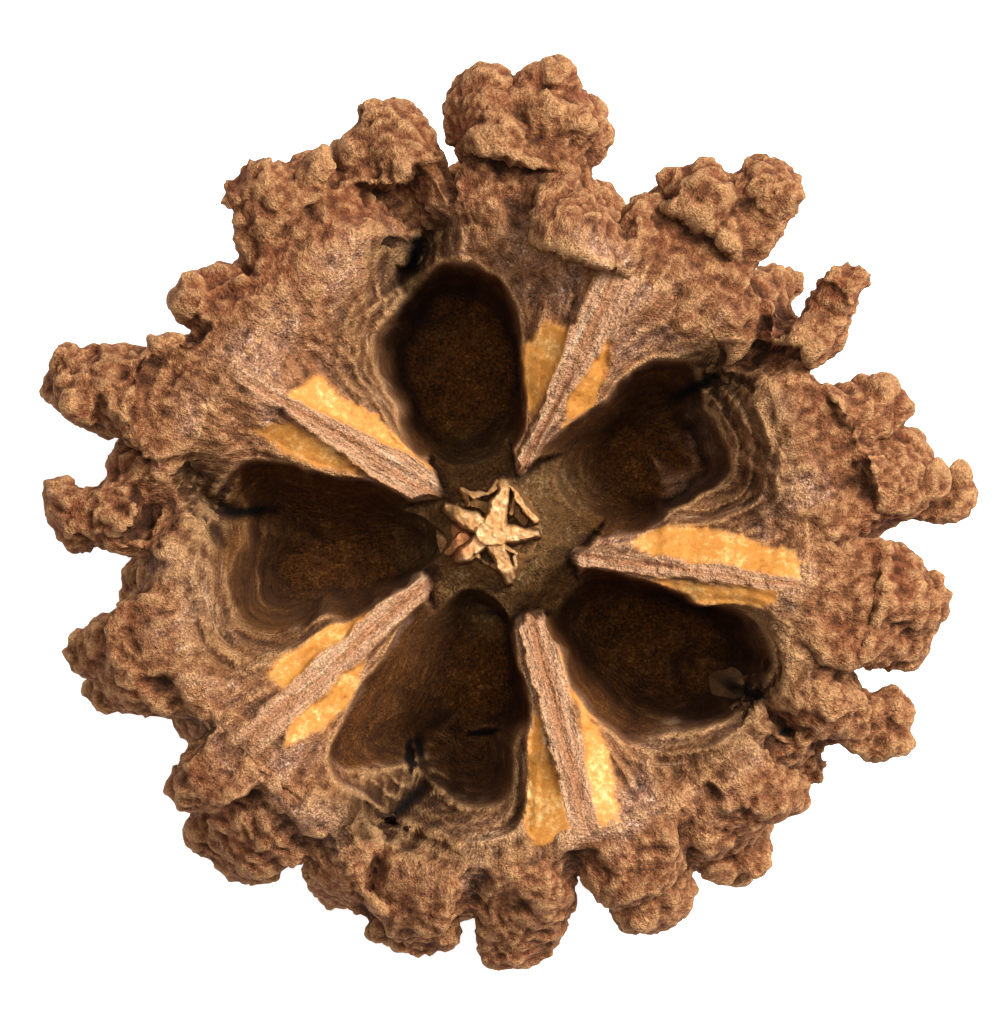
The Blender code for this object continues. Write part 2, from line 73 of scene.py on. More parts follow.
# For each chamber: its middle, how far its rim lies from there at every 22.5 degrees, the middle,
# half axes and turn of its deep floor, the height of that, and the side where growth lines show
CHAMBERS = (
    (
        (-2.4, 8.8),
        (3.7, 3.9, 4.45, 5.0, 5.1, 4.8, 4.5, 5.1, 5.0, 4.6, 4.55, 5.15, 6.1, 5.9, 5.35, 4.2),
        (-1.7, 8.6, 2.7, 3.4, 0.0), 7.4, 170.0,
    ),
    (
        (8.0, 4.2),
        (6.1, 5.9, 5.9, 5.0, 4.65, 3.95, 3.6, 4.1, 5.6, 6.3, 6.0, 5.0, 4.2, 4.0, 5.1, 6.3),
        (8.5, 3.8, 2.3, 2.0, 0.0), 7.6, -12.0,
    ),
    (
        (8.6, -6.2),
        (6.5, 5.5, 3.25, 3.05, 3.35, 4.2, 5.9, 6.7, 5.45, 5.15, 4.95, 5.2, 5.3, 5.4, 5.8, 6.3),
        (8.9, -6.0, 3.5, 2.3, -20.0), 7.6, -30.0,
    ),
    (
        (-2.0, -9.5),
        (3.8, 3.8, 4.2, 6.2, 6.6, 5.9, 5.05, 5.1, 5.75, 7.2, 6.4, 6.2, 6.5, 6.8, 5.2, 3.8),
        (-0.5, -7.2, 1.3, 2.9, 3.0), 7.4, -80.0,
    ),
    (
        (-9.0, -0.8),
        (6.8, 5.5, 4.5, 3.85, 3.7, 4.6, 6.1, 6.3, 6.0, 6.5, 7.2, 6.2, 4.4, 4.2, 4.2, 5.0),
        (-7.6, -1.9, 2.8, 1.2, 12.0), 8.0, 215.0,
    ),
)
LIP_DROP, LIP_RUN, WALL_STEEPNESS = 1.7, 0.3, 1.7
# Where they show, the shares of the way to its deep floor that each chamber's ledges take up, and
# that they are pale for
LEDGE_SHARES, LEDGE_FALL = (0.35, 0.68, 0.40, 0.45, 0.45), 0.75
PALE_SHARES = (0.28, 0.80, 0.40, 0.46, 0.14)
LOWEST_FLOOR = 6.4
LEDGE_STEP, LEDGE_RISE = 0.85, 0.34

# Azimuth, valley depth and half width, slit depth and half width
CRACKS = (
    (-109.0, 3.6, 2.4, 1.8, 0.50),
    (-34.0, 2.6, 1.7, 2.4, 0.50),
    (34.0, 3.2, 1.6, 2.2, 0.55),
    (107.0, 3.6, 2.2, 3.8, 0.90),
    (176.0, 4.0, 2.2, 1.6, 0.50),
)
CRACK_INSET, CRACK_WANDER = 1.3, 0.7
CRACKS_BEGIN, CRACKS_RUN, HOLE_DEPTH = 10.5, 4.5, 0.9
# Small holes and a slit, painted black as shade in their depth: middle, half length, half width and turn
HOLES = (
    (12.2, -8.2, 0.36, 0.30, 0.0),
    (14.9, -10.4, 0.44, 0.30, 0.0),
    (15.95, -10.45, 0.40, 0.32, 0.0),
    (-0.75, -10.75, 0.85, 0.20, 8.0),
    (-4.55, -11.9, 0.28, 0.75, 8.0),
)

HEART_COLUMNS, HEART_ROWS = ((720, 134))


def smooth_step(x):
    """0 below 0, 1 above 1, and between them the curve 3x^2 - 2x^3."""
    x = np.clip(x, 0.0, 1.0)
    return x * x * (3.0 - 2.0 * x)


def lattice_value(i, j, k, seed):
    """A repeatable number from 0 to 1 for each point of a whole-number lattice."""
    h = i * 374761393 + j * 668265263 + k * 2147483647 + seed * 974634777
    h = (h ^ (h >> 13)) * 1274126177 & 0xFFFFFFFF
    h = (h ^ (h >> 16)) & 0xFFFFFFFF
    return h / 0xFFFFFFFF


def value_noise(points, scale, seed):
    """Smooth noise from -1 to 1: lattice values blended over cells that are scale wide."""
    cells = points / scale
    whole = np.floor(cells).astype(np.int64)
    part = smooth_step(cells - whole)
    total = np.zeros(len(points))
    for corner in np.ndindex(2, 2, 2):
        weight = np.prod(np.where(corner, part, 1.0 - part), axis=1)
        total += weight * lattice_value(*(whole + corner).T, seed)
    return 2.0 * total - 1.0


def line_noise(run, scale, seed):
    """Noise that depends on one distance alone."""
    cells = run / scale
    whole = np.floor(cells).astype(np.int64)
    first, second = (lattice_value(whole + step, 0, 0, seed) for step in (0, 1))
    return 2.0 * (first + (second - first) * smooth_step(cells - whole)) - 1.0


def flat_noise(x, y, scale, seed):
    """Noise over the plan."""
    i, j = np.floor(x / scale).astype(np.int64), np.floor(y / scale).astype(np.int64)
    u, v = smooth_step(x / scale - i), smooth_step(y / scale - j)
    a, b, c, d = (lattice_value(i + di, j + dj, 0, seed) for dj in (0, 1) for di in (0, 1))
    return 2.0 * ((a + (b - a) * u) * (1.0 - v) + (c + (d - c) * u) * v) - 1.0


def crack_lines(x, y):
    """For each crack in turn: its row, and the distance to the left of its wandering line."""
    for number, row in enumerate(CRACKS):
        a = math.radians(row[0])
        along, across = x * math.cos(a) + y * math.sin(a), y * math.cos(a) - x * math.sin(a)
        wander = CRACK_WANDER * line_noise(along, 2.3, number)
        yield row, np.where(along > 0, across - wander, 99.0)


def crack_depth(x, y):
    """The deepest of the cracks: each a broad bell-shaped valley with a narrow slit along it."""
    depth = np.zeros_like(x)
    for (_, valley, valley_width, slit, slit_width), across in crack_lines(x, y):
        groove = valley * np.exp(-((across / valley_width) ** 2))
        depth = np.maximum(depth, groove + slit * np.exp(-((across / slit_width) ** 2)))
    return depth


def crack_marks(x, y):
    """Two masks along the cracks: the brown, broken wood of their valleys, and the slits, painted
    black as shade in their depth, which gape here and close there."""
    radius, valleys, slit_shade = np.hypot(x, y), np.zeros_like(x), np.zeros_like(x)
    for number, ((_, _, width, _, slit), across) in enumerate(crack_lines(x, y)):
        ragged = across + 0.8 * flat_noise(x, y, 1.3, 45) + 0.3 * flat_noise(x, y, 0.4, 46)
        valleys = np.maximum(valleys, np.exp(-((ragged / (1.05 * width)) ** 4)))
        gape = smooth_step((line_noise(radius, 1.5, 47 + number) + 0.35) / 0.5)
        slit_shade = np.maximum(slit_shade, gape * np.exp(-((across / (0.55 * slit)) ** 4)))
    return valleys * smooth_step((radius - 8.5) / 3.0), slit_shade * smooth_step((radius - 11.0) / 1.0)


def holes(x, y):
    """1 in the small holes, painted black as shade in their depth, and 0 off them: each an ellipse
    with a soft, ragged border.
    """
    mask = np.zeros_like(x)
    for middle_x, middle_y, length, width, tilt in HOLES:
        c, s = math.cos(math.radians(tilt)), math.sin(math.radians(tilt))
        dx, dy = x - middle_x, y - middle_y
        ring = np.hypot((dx * c + dy * s) / length, (dy * c - dx * s) / width)
        ragged = ring + 0.3 * flat_noise(x, y, 0.3, 48)
        mask = np.maximum(mask, 1.0 - smooth_step((ragged - 0.7) / 0.5))
    return mask


def body_radius(angle):
    """The husk's radius under the knobs: wider away from one side, swollen in waves round it, and
    let in at the cracks."""
    lean = LEAN * np.cos(angle - LEAN_TOWARDS)
    swell = sum(size * np.cos(waves * angle + start) for size, waves, start in SWELLS)
    inset = np.zeros_like(angle)
    for row, across in crack_lines(BODY_RADIUS * np.cos(angle), BODY_RADIUS * np.sin(angle)):
        inset = np.maximum(inset, CRACK_INSET * np.exp(-((across / (0.6 * row[2])) ** 2)))
    return BODY_RADIUS - lean + swell - inset


def closed_height(x, y, rim):
    """Height of the rim and septa as if no pit were let in between them: a superellipse from the
    widest line up to the crest, then a fall along the septa to the axis."""
    radius = np.hypot(x, y)
    crest_radius = rim - CREST_INSET
    outward = np.clip((radius - crest_radius) / CREST_INSET, 0.0, 1.0)
    shoulder = (1.0 - outward**SHOULDER_FULLNESS) ** (1.0 / SHOULDER_FULLNESS)
    dome = EQUATOR_HEIGHT + (CREST_HEIGHT - EQUATOR_HEIGHT) * shoulder
    inward = np.clip((crest_radius - radius) / (crest_radius - 4.0), 0.0, 1.0)
    return dome - SEPTUM_DROP * inward**1.25, outward


def by_septum(x, y):
    """For the nearest septum: distance along it from its inner end, distance to its left, the half
    width of its cut edge there, and its number."""
    best = np.full_like(x, 99.0)
    along, across, band, which = (np.zeros_like(x) for _ in range(4))
    for number, (inner, outer, start, end, _) in enumerate(SEPTA):
        run = Vector(outer) - Vector(inner)
        length, aim = run.length, run.normalized()
        u = (x - inner[0]) * aim.x + (y - inner[1]) * aim.y
        v = (y - inner[1]) * aim.x - (x - inner[0]) * aim.y
        away = np.abs(v) + 4.0 * np.maximum(-u - 1.0, 0.0)
        nearer = away < best
        best = np.where(nearer, away, best)
        along, across = np.where(nearer, u, along), np.where(nearer, v, across)
        band = np.where(nearer, start + (end - start) * smooth_step(u / length), band)
        which = np.where(nearer, number, which)
    band += 0.20 * line_noise(along + 40.0 * which + 9.0 * (across > 0), 1.3, 31)
    band += 0.09 * line_noise(along + 90.0 * which + 5.0 * (across > 0), 0.35, 32)
    return along, across, band, which


def by_chamber(x, y):
    """For the chamber whose rim is nearest: distance inside its rim, share of the way from the rim
    to the deep floor, angle round it, its number, and how much its growth lines show there."""
    inside = np.full_like(x, -99.0)
    share, turn, which, lined = (np.zeros_like(x) for _ in range(4))
    for number, (middle, radii, floor, _, lines) in enumerate(CHAMBERS):
        dx, dy = x - middle[0], y - middle[1]
        a = np.arctan2(dy, dx) % (2 * math.pi)
        place = a / (2 * math.pi) * len(radii)
        first = np.floor(place).astype(int)
        f = place - first
        p = [np.take(radii, (first + step) % len(radii)) for step in (-1, 0, 1, 2)]
        rim = 0.5 * (
            2 * p[1] + (p[2] - p[0]) * f + (2 * p[0] - 5 * p[1] + 4 * p[2] - p[3]) * f**2
            + (3 * p[1] - p[0] - 3 * p[2] + p[3]) * f**3
        )
        rim += 0.10 * line_noise(3.0 * a + 20.0 * number, 0.5, 35)
        depth = rim - np.hypot(dx, dy)
        c, s = math.cos(math.radians(floor[4])), math.sin(math.radians(floor[4]))
        fx, fy = x - floor[0], y - floor[1]
        ring = np.hypot((fx * c + fy * s) / floor[2], (fy * c - fx * s) / floor[3])
        ring += 0.16 * flat_noise(x, y, 1.6, 43) + 0.08 * flat_noise(x, y, 0.7, 44)
        to_floor = np.maximum(ring - 1.0, 0.0) * min(floor[2], floor[3])
        wall_share = np.clip(depth, 0.0, None) / (np.clip(depth, 1e-6, None) + to_floor)
        facing = np.cos(a - math.radians(lines))
        nearer = depth > inside
        inside = np.where(nearer, depth, inside)
        share, turn = np.where(nearer, wall_share, share), np.where(nearer, a, turn)
        which = np.where(nearer, number, which)
        lined = np.where(nearer, smooth_step((facing - 0.1) / 0.6), lined)
    return inside, share, turn, which.astype(int), lined


def basin_reach(angle):
    """How far the hollow round the column reaches: to the septa's ends, and further between."""
    reach = np.full_like(angle, BASIN_REACH)
    for inner, _, _, _, end in SEPTA:
        turn = (angle - math.atan2(inner[1], inner[0]) + math.pi) % (2 * math.pi) - math.pi
        reach -= (BASIN_REACH - end) * np.exp(-((turn / 0.24) ** 2))
    return reach


def growth_lines(inside, turn, which):
    """Uneven ledges that follow the chambers' rims: a saw tooth and noise along the distance."""
    bent = inside + 0.30 * value_noise(np.column_stack((turn * 2.5, inside * 0.3, which * 7.0)), 1.0, 36)
    tooth = (bent / LEDGE_STEP) % 1.0
    fine = value_noise(np.column_stack((inside / 0.30, turn * 1.2, which * 7.0)), 1.0, 37)
    return LEDGE_RISE * (0.5 - tooth) * smooth_step((1.0 - tooth) / 0.25) + 0.08 * fine


def heart_height(x, y):
    """Height of the septa, facets, pits, growth lines and cracks over the plan."""
    radius, angle = np.hypot(x, y), np.arctan2(y, x)
    rim = body_radius(angle)
    closed, outward = closed_height(x, y, rim)
    along, across, band, _ = by_septum(x, y)
    beyond = np.clip(np.abs(across) - band, 0.0, FACET_WIDTH)
    top = closed - FACET_FALL * beyond * smooth_step((0.97 * rim - radius) / 4.0)
    top -= EDGE_STEP * smooth_step(beyond / EDGE_STEP_RUN) * smooth_step((EDGE_STEP_END - radius) / 3.0)
    inside, share, turn, which, lined = by_chamber(x, y)
    floor = np.take([row[3] for row in CHAMBERS], which)
    lip = LIP_DROP * (1.0 - 0.85 * lined) * smooth_step(inside / LIP_RUN)
    ledge_share = np.take(LEDGE_SHARES, which) * lined
    whole = np.clip(inside, 1e-3, None) / np.clip(share, 1e-3, None)
    beyond_ledges = np.clip((share - ledge_share) / (1.0 - ledge_share), 0.0, 1.0)
    slope = top - lip - LEDGE_FALL * np.minimum(whole, 6.0) * np.minimum(share, ledge_share)
    height = slope - (slope - floor) * (1.0 - (1.0 - beyond_ledges) ** WALL_STEEPNESS) * (inside > 0)
    ridges = growth_lines(inside, turn, which)
    window = smooth_step((inside + 1.6) / 1.6) * smooth_step((0.95 - share) / 0.4)
    height += ridges * window * (0.25 + 0.75 * lined) * smooth_step((radius - 4.0) / 2.0)
    basin = CENTRE_FLOOR - BASIN_FALL * np.clip(radius - BASIN_LEVEL_PART, 0.0, 4.0)
    ragged = 0.22 * flat_noise(x, y, 0.5, 38) + 0.12 * flat_noise(x, y, 0.22, 39)
    edge = smooth_step((radius - basin_reach(angle) - ragged) / 0.5)
    height = np.minimum(height, basin + 24.0 * edge)
    crack = crack_depth(x, y) * smooth_step((radius - CRACKS_BEGIN) / CRACKS_RUN)
    height -= crack * (1.0 - 0.75 * outward**2) + HOLE_DEPTH * holes(x, y)
    return np.maximum(height, LOWEST_FLOOR)


def closed_grid(columns, rows):
    """Angles round and from the top of a closed ball of a grid, and its triangles facing out.
    The poles are single points, at the end of the list."""
    turn, polar = np.meshgrid(
        2 * math.pi * np.arange(columns) / columns, math.pi * np.arange(1, rows) / rows
    )
    turn, polar = np.append(turn.ravel(), (0.0, 0.0)), np.append(polar.ravel(), (0.0, math.pi))
    top, bottom = len(turn) - 2, len(turn) - 1
    here = np.arange(columns)
    beside = (here + 1) % columns
    upper = (np.arange(rows - 2)[:, None] * columns + here).ravel()
    upper_beside = (np.arange(rows - 2)[:, None] * columns + beside).ravel()
    last = (rows - 2) * columns
    triangles = np.concatenate((
        np.column_stack((upper, upper + columns, upper_beside + columns)),
        np.column_stack((upper, upper_beside + columns, upper_beside)),
        np.column_stack((np.full(columns, top), here, beside)),
        np.column_stack((last + here, np.full(columns, bottom), last + beside)),
    ))
    return turn, polar, triangles


def disc_grid(columns, rows):
    """A closed grid for a disc with an underside: the angle round, the share of the way out to the
    border, the number of rows past it, of which the third is the middle, and the triangles."""
    turn, polar, triangles = closed_grid(columns, rows)
    row = np.round(polar / math.pi * rows).astype(int)
    return turn, np.clip(row / (rows - 3), 0.0, 1.0), row - (rows - 3), triangles


def mesh_of(name, points, triangles):
    """A mesh from points in metres and an array of triangles."""
    mesh = bpy.data.meshes.new(name)
    mesh.vertices.add(len(points))
    mesh.vertices.foreach_set("co", points.astype(np.float32).ravel())
    mesh.loops.add(3 * len(triangles))
    mesh.loops.foreach_set("vertex_index", triangles.astype(np.int32).ravel())
    mesh.polygons.add(len(triangles))
    mesh.polygons.foreach_set("loop_start", np.arange(0, 3 * len(triangles), 3, dtype=np.int32))
    mesh.update(calc_edges=True)
    return mesh


def shown(name, data):
    """A new object with this data, in the scene."""
    made = bpy.data.objects.new(name, data)
    bpy.context.scene.collection.objects.link(made)
    return made


def cell_noise(points, scale, seed):
    """Distance to the nearest of the points scattered one to a cell, in cells: 0 at the points,
    and creased half way between them."""
    cells = points / scale
    whole = np.floor(cells - 0.5).astype(np.int64)
    nearest = np.full(len(points), 9.0)
    for corner in np.ndindex(2, 2, 2):
        home = whole + corner
        spot = np.column_stack([lattice_value(*home.T, seed + s) for s in (0, 50, 100)])
        away = home + 0.15 + 0.7 * spot - cells
        nearest = np.minimum(nearest, np.einsum("ij,ij->i", away, away))
    return np.sqrt(nearest)


# Where places that are drawn out along the radius keep their spacing round the axis
MID_RADIUS = 13.0


def crusted_relief(points):
    """Crust of the husk: swellings and creased crumbs of two sizes, in a space that noise bends."""
    bent = points + 0.45 * value_noise(points, 1.7, 20)[:, None] * np.array((1.0, -0.7, 0.6))
    relief = 0.38 * value_noise(points, 2.8, 9) + 0.17 * (0.5 - cell_noise(bent, 1.4, 10))
    relief += 0.20 * (0.5 - cell_noise(bent, 0.60, 11)) + 0.16 * value_noise(bent, 0.8, 25)
    return relief + 0.20 * value_noise(bent, 0.38, 12)


def drawn_out(points, radius, share):
    """Places that change only this share as fast outwards from the axis as round it, for what
    runs outwards."""
    drawn = points.copy()
    drawn[:, :2] *= ((MID_RADIUS + share * (radius - MID_RADIUS)) / np.maximum(radius, 1.0))[:, None]
    return drawn


def fibrous_relief(points, radius):
    """Fibres and folds that run outwards from the axis: noise drawn out along the radius."""
    drawn = drawn_out(points, radius, 0.22)
    drawn[:, 0] += 0.5 * value_noise(points, 2.2, 23)
    folds = 0.20 * value_noise(drawn, 0.38, 13) + 0.28 * value_noise(drawn, 0.9, 14)
    return folds + 0.42 * value_noise(drawn, 2.1, 21)


def husk_relief(points, rim):
    """Crust on the outside and fibres on the rim, one fading into the other."""
    radius = np.hypot(points[:, 0], points[:, 1])
    outer = smooth_step((radius - rim + 2.5) / 3.0)
    fibres = fibrous_relief(points, radius) * (1.0 - 0.8 * outer)
    return crusted_relief(points) * (0.5 + 0.5 * outer) + fibres


# Waxy facets beside the septa: the corners of each, going round clockwise
FACETS = (
    ((-10.9, 6.8), (-9.3, 7.8), (-6.2, 5.6), (-5.2, 4.2), (-6.0, 4.1), (-8.5, 5.3)),
    ((-12.0, 5.0), (-10.6, 5.3), (-9.0, 4.4), (-7.4, 3.1), (-9.2, 3.3), (-11.0, 4.2)),
    ((-5.7, 4.8), (-5.2, 4.7), (-2.6, 3.15), (-2.7, 2.85), (-4.2, 3.25)),
    ((1.35, 9.5), (2.6, 10.7), (4.0, 10.3), (3.4, 8.6), (1.8, 6.1), (1.5, 6.8)),
    ((3.8, 5.8), (4.1, 7.6), (4.6, 9.1), (5.7, 9.6), (5.5, 8.2), (5.0, 6.6)),
    ((6.6, -0.7), (8.6, 0.2), (10.6, 0.0), (13.5, -0.7), (14.1, -2.2), (11.5, -2.1), (8.5, -1.3)),
    ((13.5, -0.8), (15.2, -1.0), (15.9, -2.3), (14.4, -2.9), (13.6, -2.2)),
    ((9.0, -2.8), (11.5, -2.9), (14.2, -3.1), (14.3, -3.6), (12.0, -4.0), (10.4, -3.6)),
    ((1.5, -15.5), (1.5, -11.6), (2.1, -10.0), (2.9, -12.4), (4.2, -16.2), (3.0, -16.9)),
    ((4.3, -9.0), (5.1, -10.4), (6.0, -13.0), (6.2, -16.0), (5.5, -17.4), (4.9, -15.0)),
    ((2.3, -4.0), (2.7, -4.5), (4.9, -9.6), (4.4, -9.4), (3.2, -6.7)),
    ((-6.8, -4.4), (-7.6, -5.3), (-9.2, -7.2), (-10.8, -8.5), (-11.7, -7.3), (-9.7, -5.0)),
    ((-7.1, -6.8), (-7.5, -8.6), (-9.3, -10.3), (-10.9, -11.1), (-10.5, -10.0), (-8.6, -8.1)),
)


def facet_share(x, y):
    """1 on the waxy facets and 0 off them, with frayed borders. A point is as far outside a facet
    as it is beyond the one of its sides that it is furthest beyond."""
    nearest = np.full_like(x, 9.0)
    for corners in FACETS:
        beyond = np.full_like(x, -9.0)
        for (ax, ay), (bx, by) in zip(corners, corners[1:] + corners[:1]):
            away = ((y - ay) * (bx - ax) - (x - ax) * (by - ay)) / math.hypot(bx - ax, by - ay)
            beyond = np.maximum(beyond, away)
        nearest = np.minimum(nearest, beyond)
    fray = 0.20 * flat_noise(x, y, 1.4, 40) + 0.12 * flat_noise(x, y, 0.3, 41)
    return 1.0 - smooth_step((nearest + fray + 0.05) / 0.42)


# The upper side ends a little inside the rim. Three more rows close the underside: a ring just
# inside that border, a narrower and lower one, and the middle
HEART_BORDER, UNDERSIDE_SHARE = 0.925, 0.78
BORDER_DIP, BORDER_DIP_START, BORDER_DIP_RUN = 0.9, 0.885, 0.04
UNDERSIDE_INSET, UNDERSIDE_HEIGHTS = 0.8, (11.0, 5.0)
turn, way_out, past_border, triangles = disc_grid(HEART_COLUMNS, HEART_ROWS)
rim = body_radius(turn)
border = HEART_BORDER * rim
rings = (border * way_out**1.08, border - UNDERSIDE_INSET, UNDERSIDE_SHARE * rim, 0.0 * rim)
radius = np.choose(np.maximum(past_border, 0), rings)
x, y = radius * np.cos(turn), radius * np.sin(turn)
on_top = past_border <= 0
share_out = radius / rim
height = heart_height(x, y) - BORDER_DIP * smooth_step((share_out - BORDER_DIP_START) / BORDER_DIP_RUN)
points = np.column_stack((x, y, height))

along, across, band, septum = by_septum(x, y)
inside, share, round_chamber, chamber, lined = by_chamber(x, y)
basin_edge = basin_reach(np.arctan2(y, x)) - radius
whole = np.clip(inside, 1e-3, None) / np.clip(share, 1e-3, None)
pale = np.take(PALE_SHARES, chamber) * lined * whole
pit = smooth_step((inside - 0.05 - pale + 0.3 * flat_noise(x, y, 0.7, 42)) / (0.25 + 0.8 * lined))
pit = np.maximum(pit, smooth_step(basin_edge / 0.3))
edge = smooth_step((band - np.abs(across)) / 0.14 + 0.5) * smooth_step((13.5 - along) / 3.5) * (1.0 - pit)
edge *= smooth_step((along + 0.3) / 0.4)
flank = facet_share(x, y) * (1.0 - edge) * smooth_step((0.12 - inside) / 0.15) * (1.0 - pit)
rough = np.clip(1.0 - pit - edge - flank, 0.0, 1.0)
streaks = np.column_stack((0.12 * along, across, septum * 9.0))
lift = rough * husk_relief(points, rim) * smooth_step((radius - 5.0) / 4.0)
for strength, scale, seed in ((0.34, 2.0, 15), (0.20, 0.8, 16), (0.12, 0.4, 22)):
    lift += pit * strength * value_noise(points, scale, seed)
lift += edge * (0.13 * value_noise(streaks, 0.26, 17) + 0.10 * value_noise(points, 0.35, 18))
lift -= 0.14 * edge * np.exp(-((across / 0.14) ** 2))
lift += flank * (0.10 * flat_noise(x, y, 1.3, 19) + 0.03 * value_noise(streaks, 0.5, 24))
underside = np.take(UNDERSIDE_HEIGHTS, (past_border > 1).astype(int))
points[:, 2] = np.where(on_top, points[:, 2] + lift, underside)


def mean_of_neighbours(values, edges):
    """For each point, the mean of the values at the other ends of its edges."""
    ends, others = np.append(edges[:, 0], edges[:, 1]), np.append(edges[:, 1], edges[:, 0])
    count = np.bincount(ends, minlength=len(values))
    columns = [np.bincount(ends, column[others], len(values)) / count for column in values.T]
    return np.column_stack(columns)


def outward_normals(points, triangles):
    """The mean direction of the faces round each point, weighted by their areas."""
    a, b, c = points[triangles[:, 0]], points[triangles[:, 1]], points[triangles[:, 2]]
    faces = np.cross(b - a, c - a)
    total = np.zeros_like(points)
    for corner in range(3):
        for axis in range(3):
            total[:, axis] += np.bincount(triangles[:, corner], faces[:, axis], len(points))
    return total / np.maximum(np.linalg.norm(total, axis=1), 1e-12)[:, None]


def hollows(points, triangles, edges, steps):
    """How far each point lies below the mean of what is round it, near by and further off."""
    normals = outward_normals(points, triangles)
    mean, found = points, []
    for step in range(steps):
        mean = mean_of_neighbours(mean, edges)
        if step in (2, steps - 1):
            found.append(np.einsum("ij,ij->i", mean - points, normals))
    return found


def edges_of(triangles):
    """Each edge of the triangles once."""
    sides = np.concatenate((triangles[:, :2], triangles[:, 1:], triangles[:, ::2]))
    return np.unique(np.sort(sides, axis=1), axis=0)


def put(mesh, **kept):
    """Values kept on the mesh's points for its material to read: one number or three to a point."""
    for name, values in kept.items():
        kind, key = ("FLOAT", "value") if values.ndim == 1 else ("FLOAT_VECTOR", "vector")
        attribute = mesh.attributes.new(name, kind, "POINT")
        attribute.data.foreach_set(key, values.astype(np.float32).ravel())


def along_rings(inside, turn, chamber, lined):
    """Places for streaks that follow the chambers' rims, and how much those streaks show."""
    places = np.column_stack((0.6 * turn, inside, 11.0 * chamber))
    return places, smooth_step((inside + 2.2) / 1.8) * (0.35 + 0.65 * lined)


GRAIN_SHARE = 0.15
heart_mesh = mesh_of("capsule_heart", points * MM, triangles)
valleys, slit_shade = crack_marks(x, y)
not_septum = (1.0 - flank) * (1.0 - edge)
ring_places, ringed = along_rings(inside, round_chamber, chamber, lined)
steps = 30
fine_hollow, broad_hollow = hollows(points, triangles, edges_of(triangles), steps)
put(
    heart_mesh,
    grain=drawn_out(points, radius, GRAIN_SHARE),
    ring_grain=ring_places,
    septum_grain=np.column_stack((0.10 * along, across, 11.0 * septum)),
    ringed=ringed * (1.0 - smooth_step((share - 0.7) / 0.3)) * not_septum,
    pit=pit,
    depth=smooth_step((18.0 - points[:, 2]) / 9.0),
    flank=flank,
    septum_edge=edge,
    across_edge=np.clip(np.abs(across) / np.maximum(band, 0.2), 0.0, 2.0),
    centre=smooth_step((6.5 - radius) / 3.0) * pit,
    crack=valleys * not_septum,
    slit=np.maximum(slit_shade, holes(x, y)),
    fine_hollow=np.clip(fine_hollow / 0.11, -1.0, 1.0),
    broad_hollow=np.clip(broad_hollow / 0.9, -1.0, 1.0),
)
heart_mesh.shade_smooth()
capsule_heart = shown("capsule_heart", heart_mesh)

# The husk. Outside the crest the same wood goes on over the shoulder and down a rounded side to a
# small flat foot. This piece is that wall and its knobs; inside, the heart fills it.
SKIN_COLUMNS, SKIN_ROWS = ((900, 520))
CUP_SHARE, CUP_RUN, CUP_FLOOR, CUP_GAP = 0.85, 0.035, 5.6, 0.7
CUP_FOOT, CUP_RISE, CUP_CLEARANCE = 0.77, 4.2, 1.7


def cup_height(x, y, share):
    """The hollow that the heart fills: flat, then a cone, and always a little below the heart."""
    cone = CUP_FLOOR + CUP_RISE * np.clip((share - CUP_FOOT) / (CUP_SHARE - CUP_FOOT), 0.0, 1.0)
    return np.minimum(cone, heart_height(x, y) - CUP_CLEARANCE)


def skin_points(turn, polar):
    """The skin at these angles: rings evenly spaced from the axis out to the widest line, then
    down the side, whose radius is a power of a cosine and whose height is a sine. Outside the
    crest two sizes of lump push it in and out."""
    rim = body_radius(turn)
    upper = polar < math.pi / 2
    below = np.maximum(polar - math.pi / 2, 0.0)
    side_radius = rim * np.clip(np.cos(below), 0.0, 1.0) ** WALL_ROUNDNESS
    side_height = EQUATOR_HEIGHT - (EQUATOR_HEIGHT + BASE_SINK) * np.sin(below)
    radius = np.where(upper, np.maximum(rim * polar / (math.pi / 2), 1e-6), side_radius)
    x, y = np.cos(turn) * radius, np.sin(turn) * radius
    share = radius / rim
    shoulder = heart_height(x, y) - CUP_GAP * (1.0 - smooth_step((share - CUP_SHARE) / CUP_RUN))
    shoulder = np.where(share < CUP_SHARE, cup_height(x, y, share), shoulder)
    points = np.column_stack((x, y, np.where(upper, shoulder, side_height)))
    lumps = 0.6 * value_noise(points, 4.1, 3) + 0.35 * value_noise(points, 2.0, 4)
    lumps *= smooth_step((share - 0.93) / 0.07)
    points[:, :2] *= (1.0 + lumps / np.maximum(radius, 1.0))[:, None]
    points[:, 2] += lumps * (points[:, 2] > 1.5)
    return points


def on_plan(points):
    """For each point: x, y, distance from the axis, and the husk's radius there."""
    x, y = points[:, 0], points[:, 1]
    return x, y, np.hypot(x, y), body_radius(np.arctan2(y, x))


turn, polar, triangles = closed_grid(SKIN_COLUMNS, SKIN_ROWS)
shells = [(skin_points(turn, polar), triangles)]

# The knobs. They grew out of the husk: a crowded crown of big irregular ones round the rim, and
# ranks of smaller ones down the side to the base. Each leaves the husk with a flare, narrows to a
# neck and swells to a warty head. They are set by the same table and draws as the solid's.

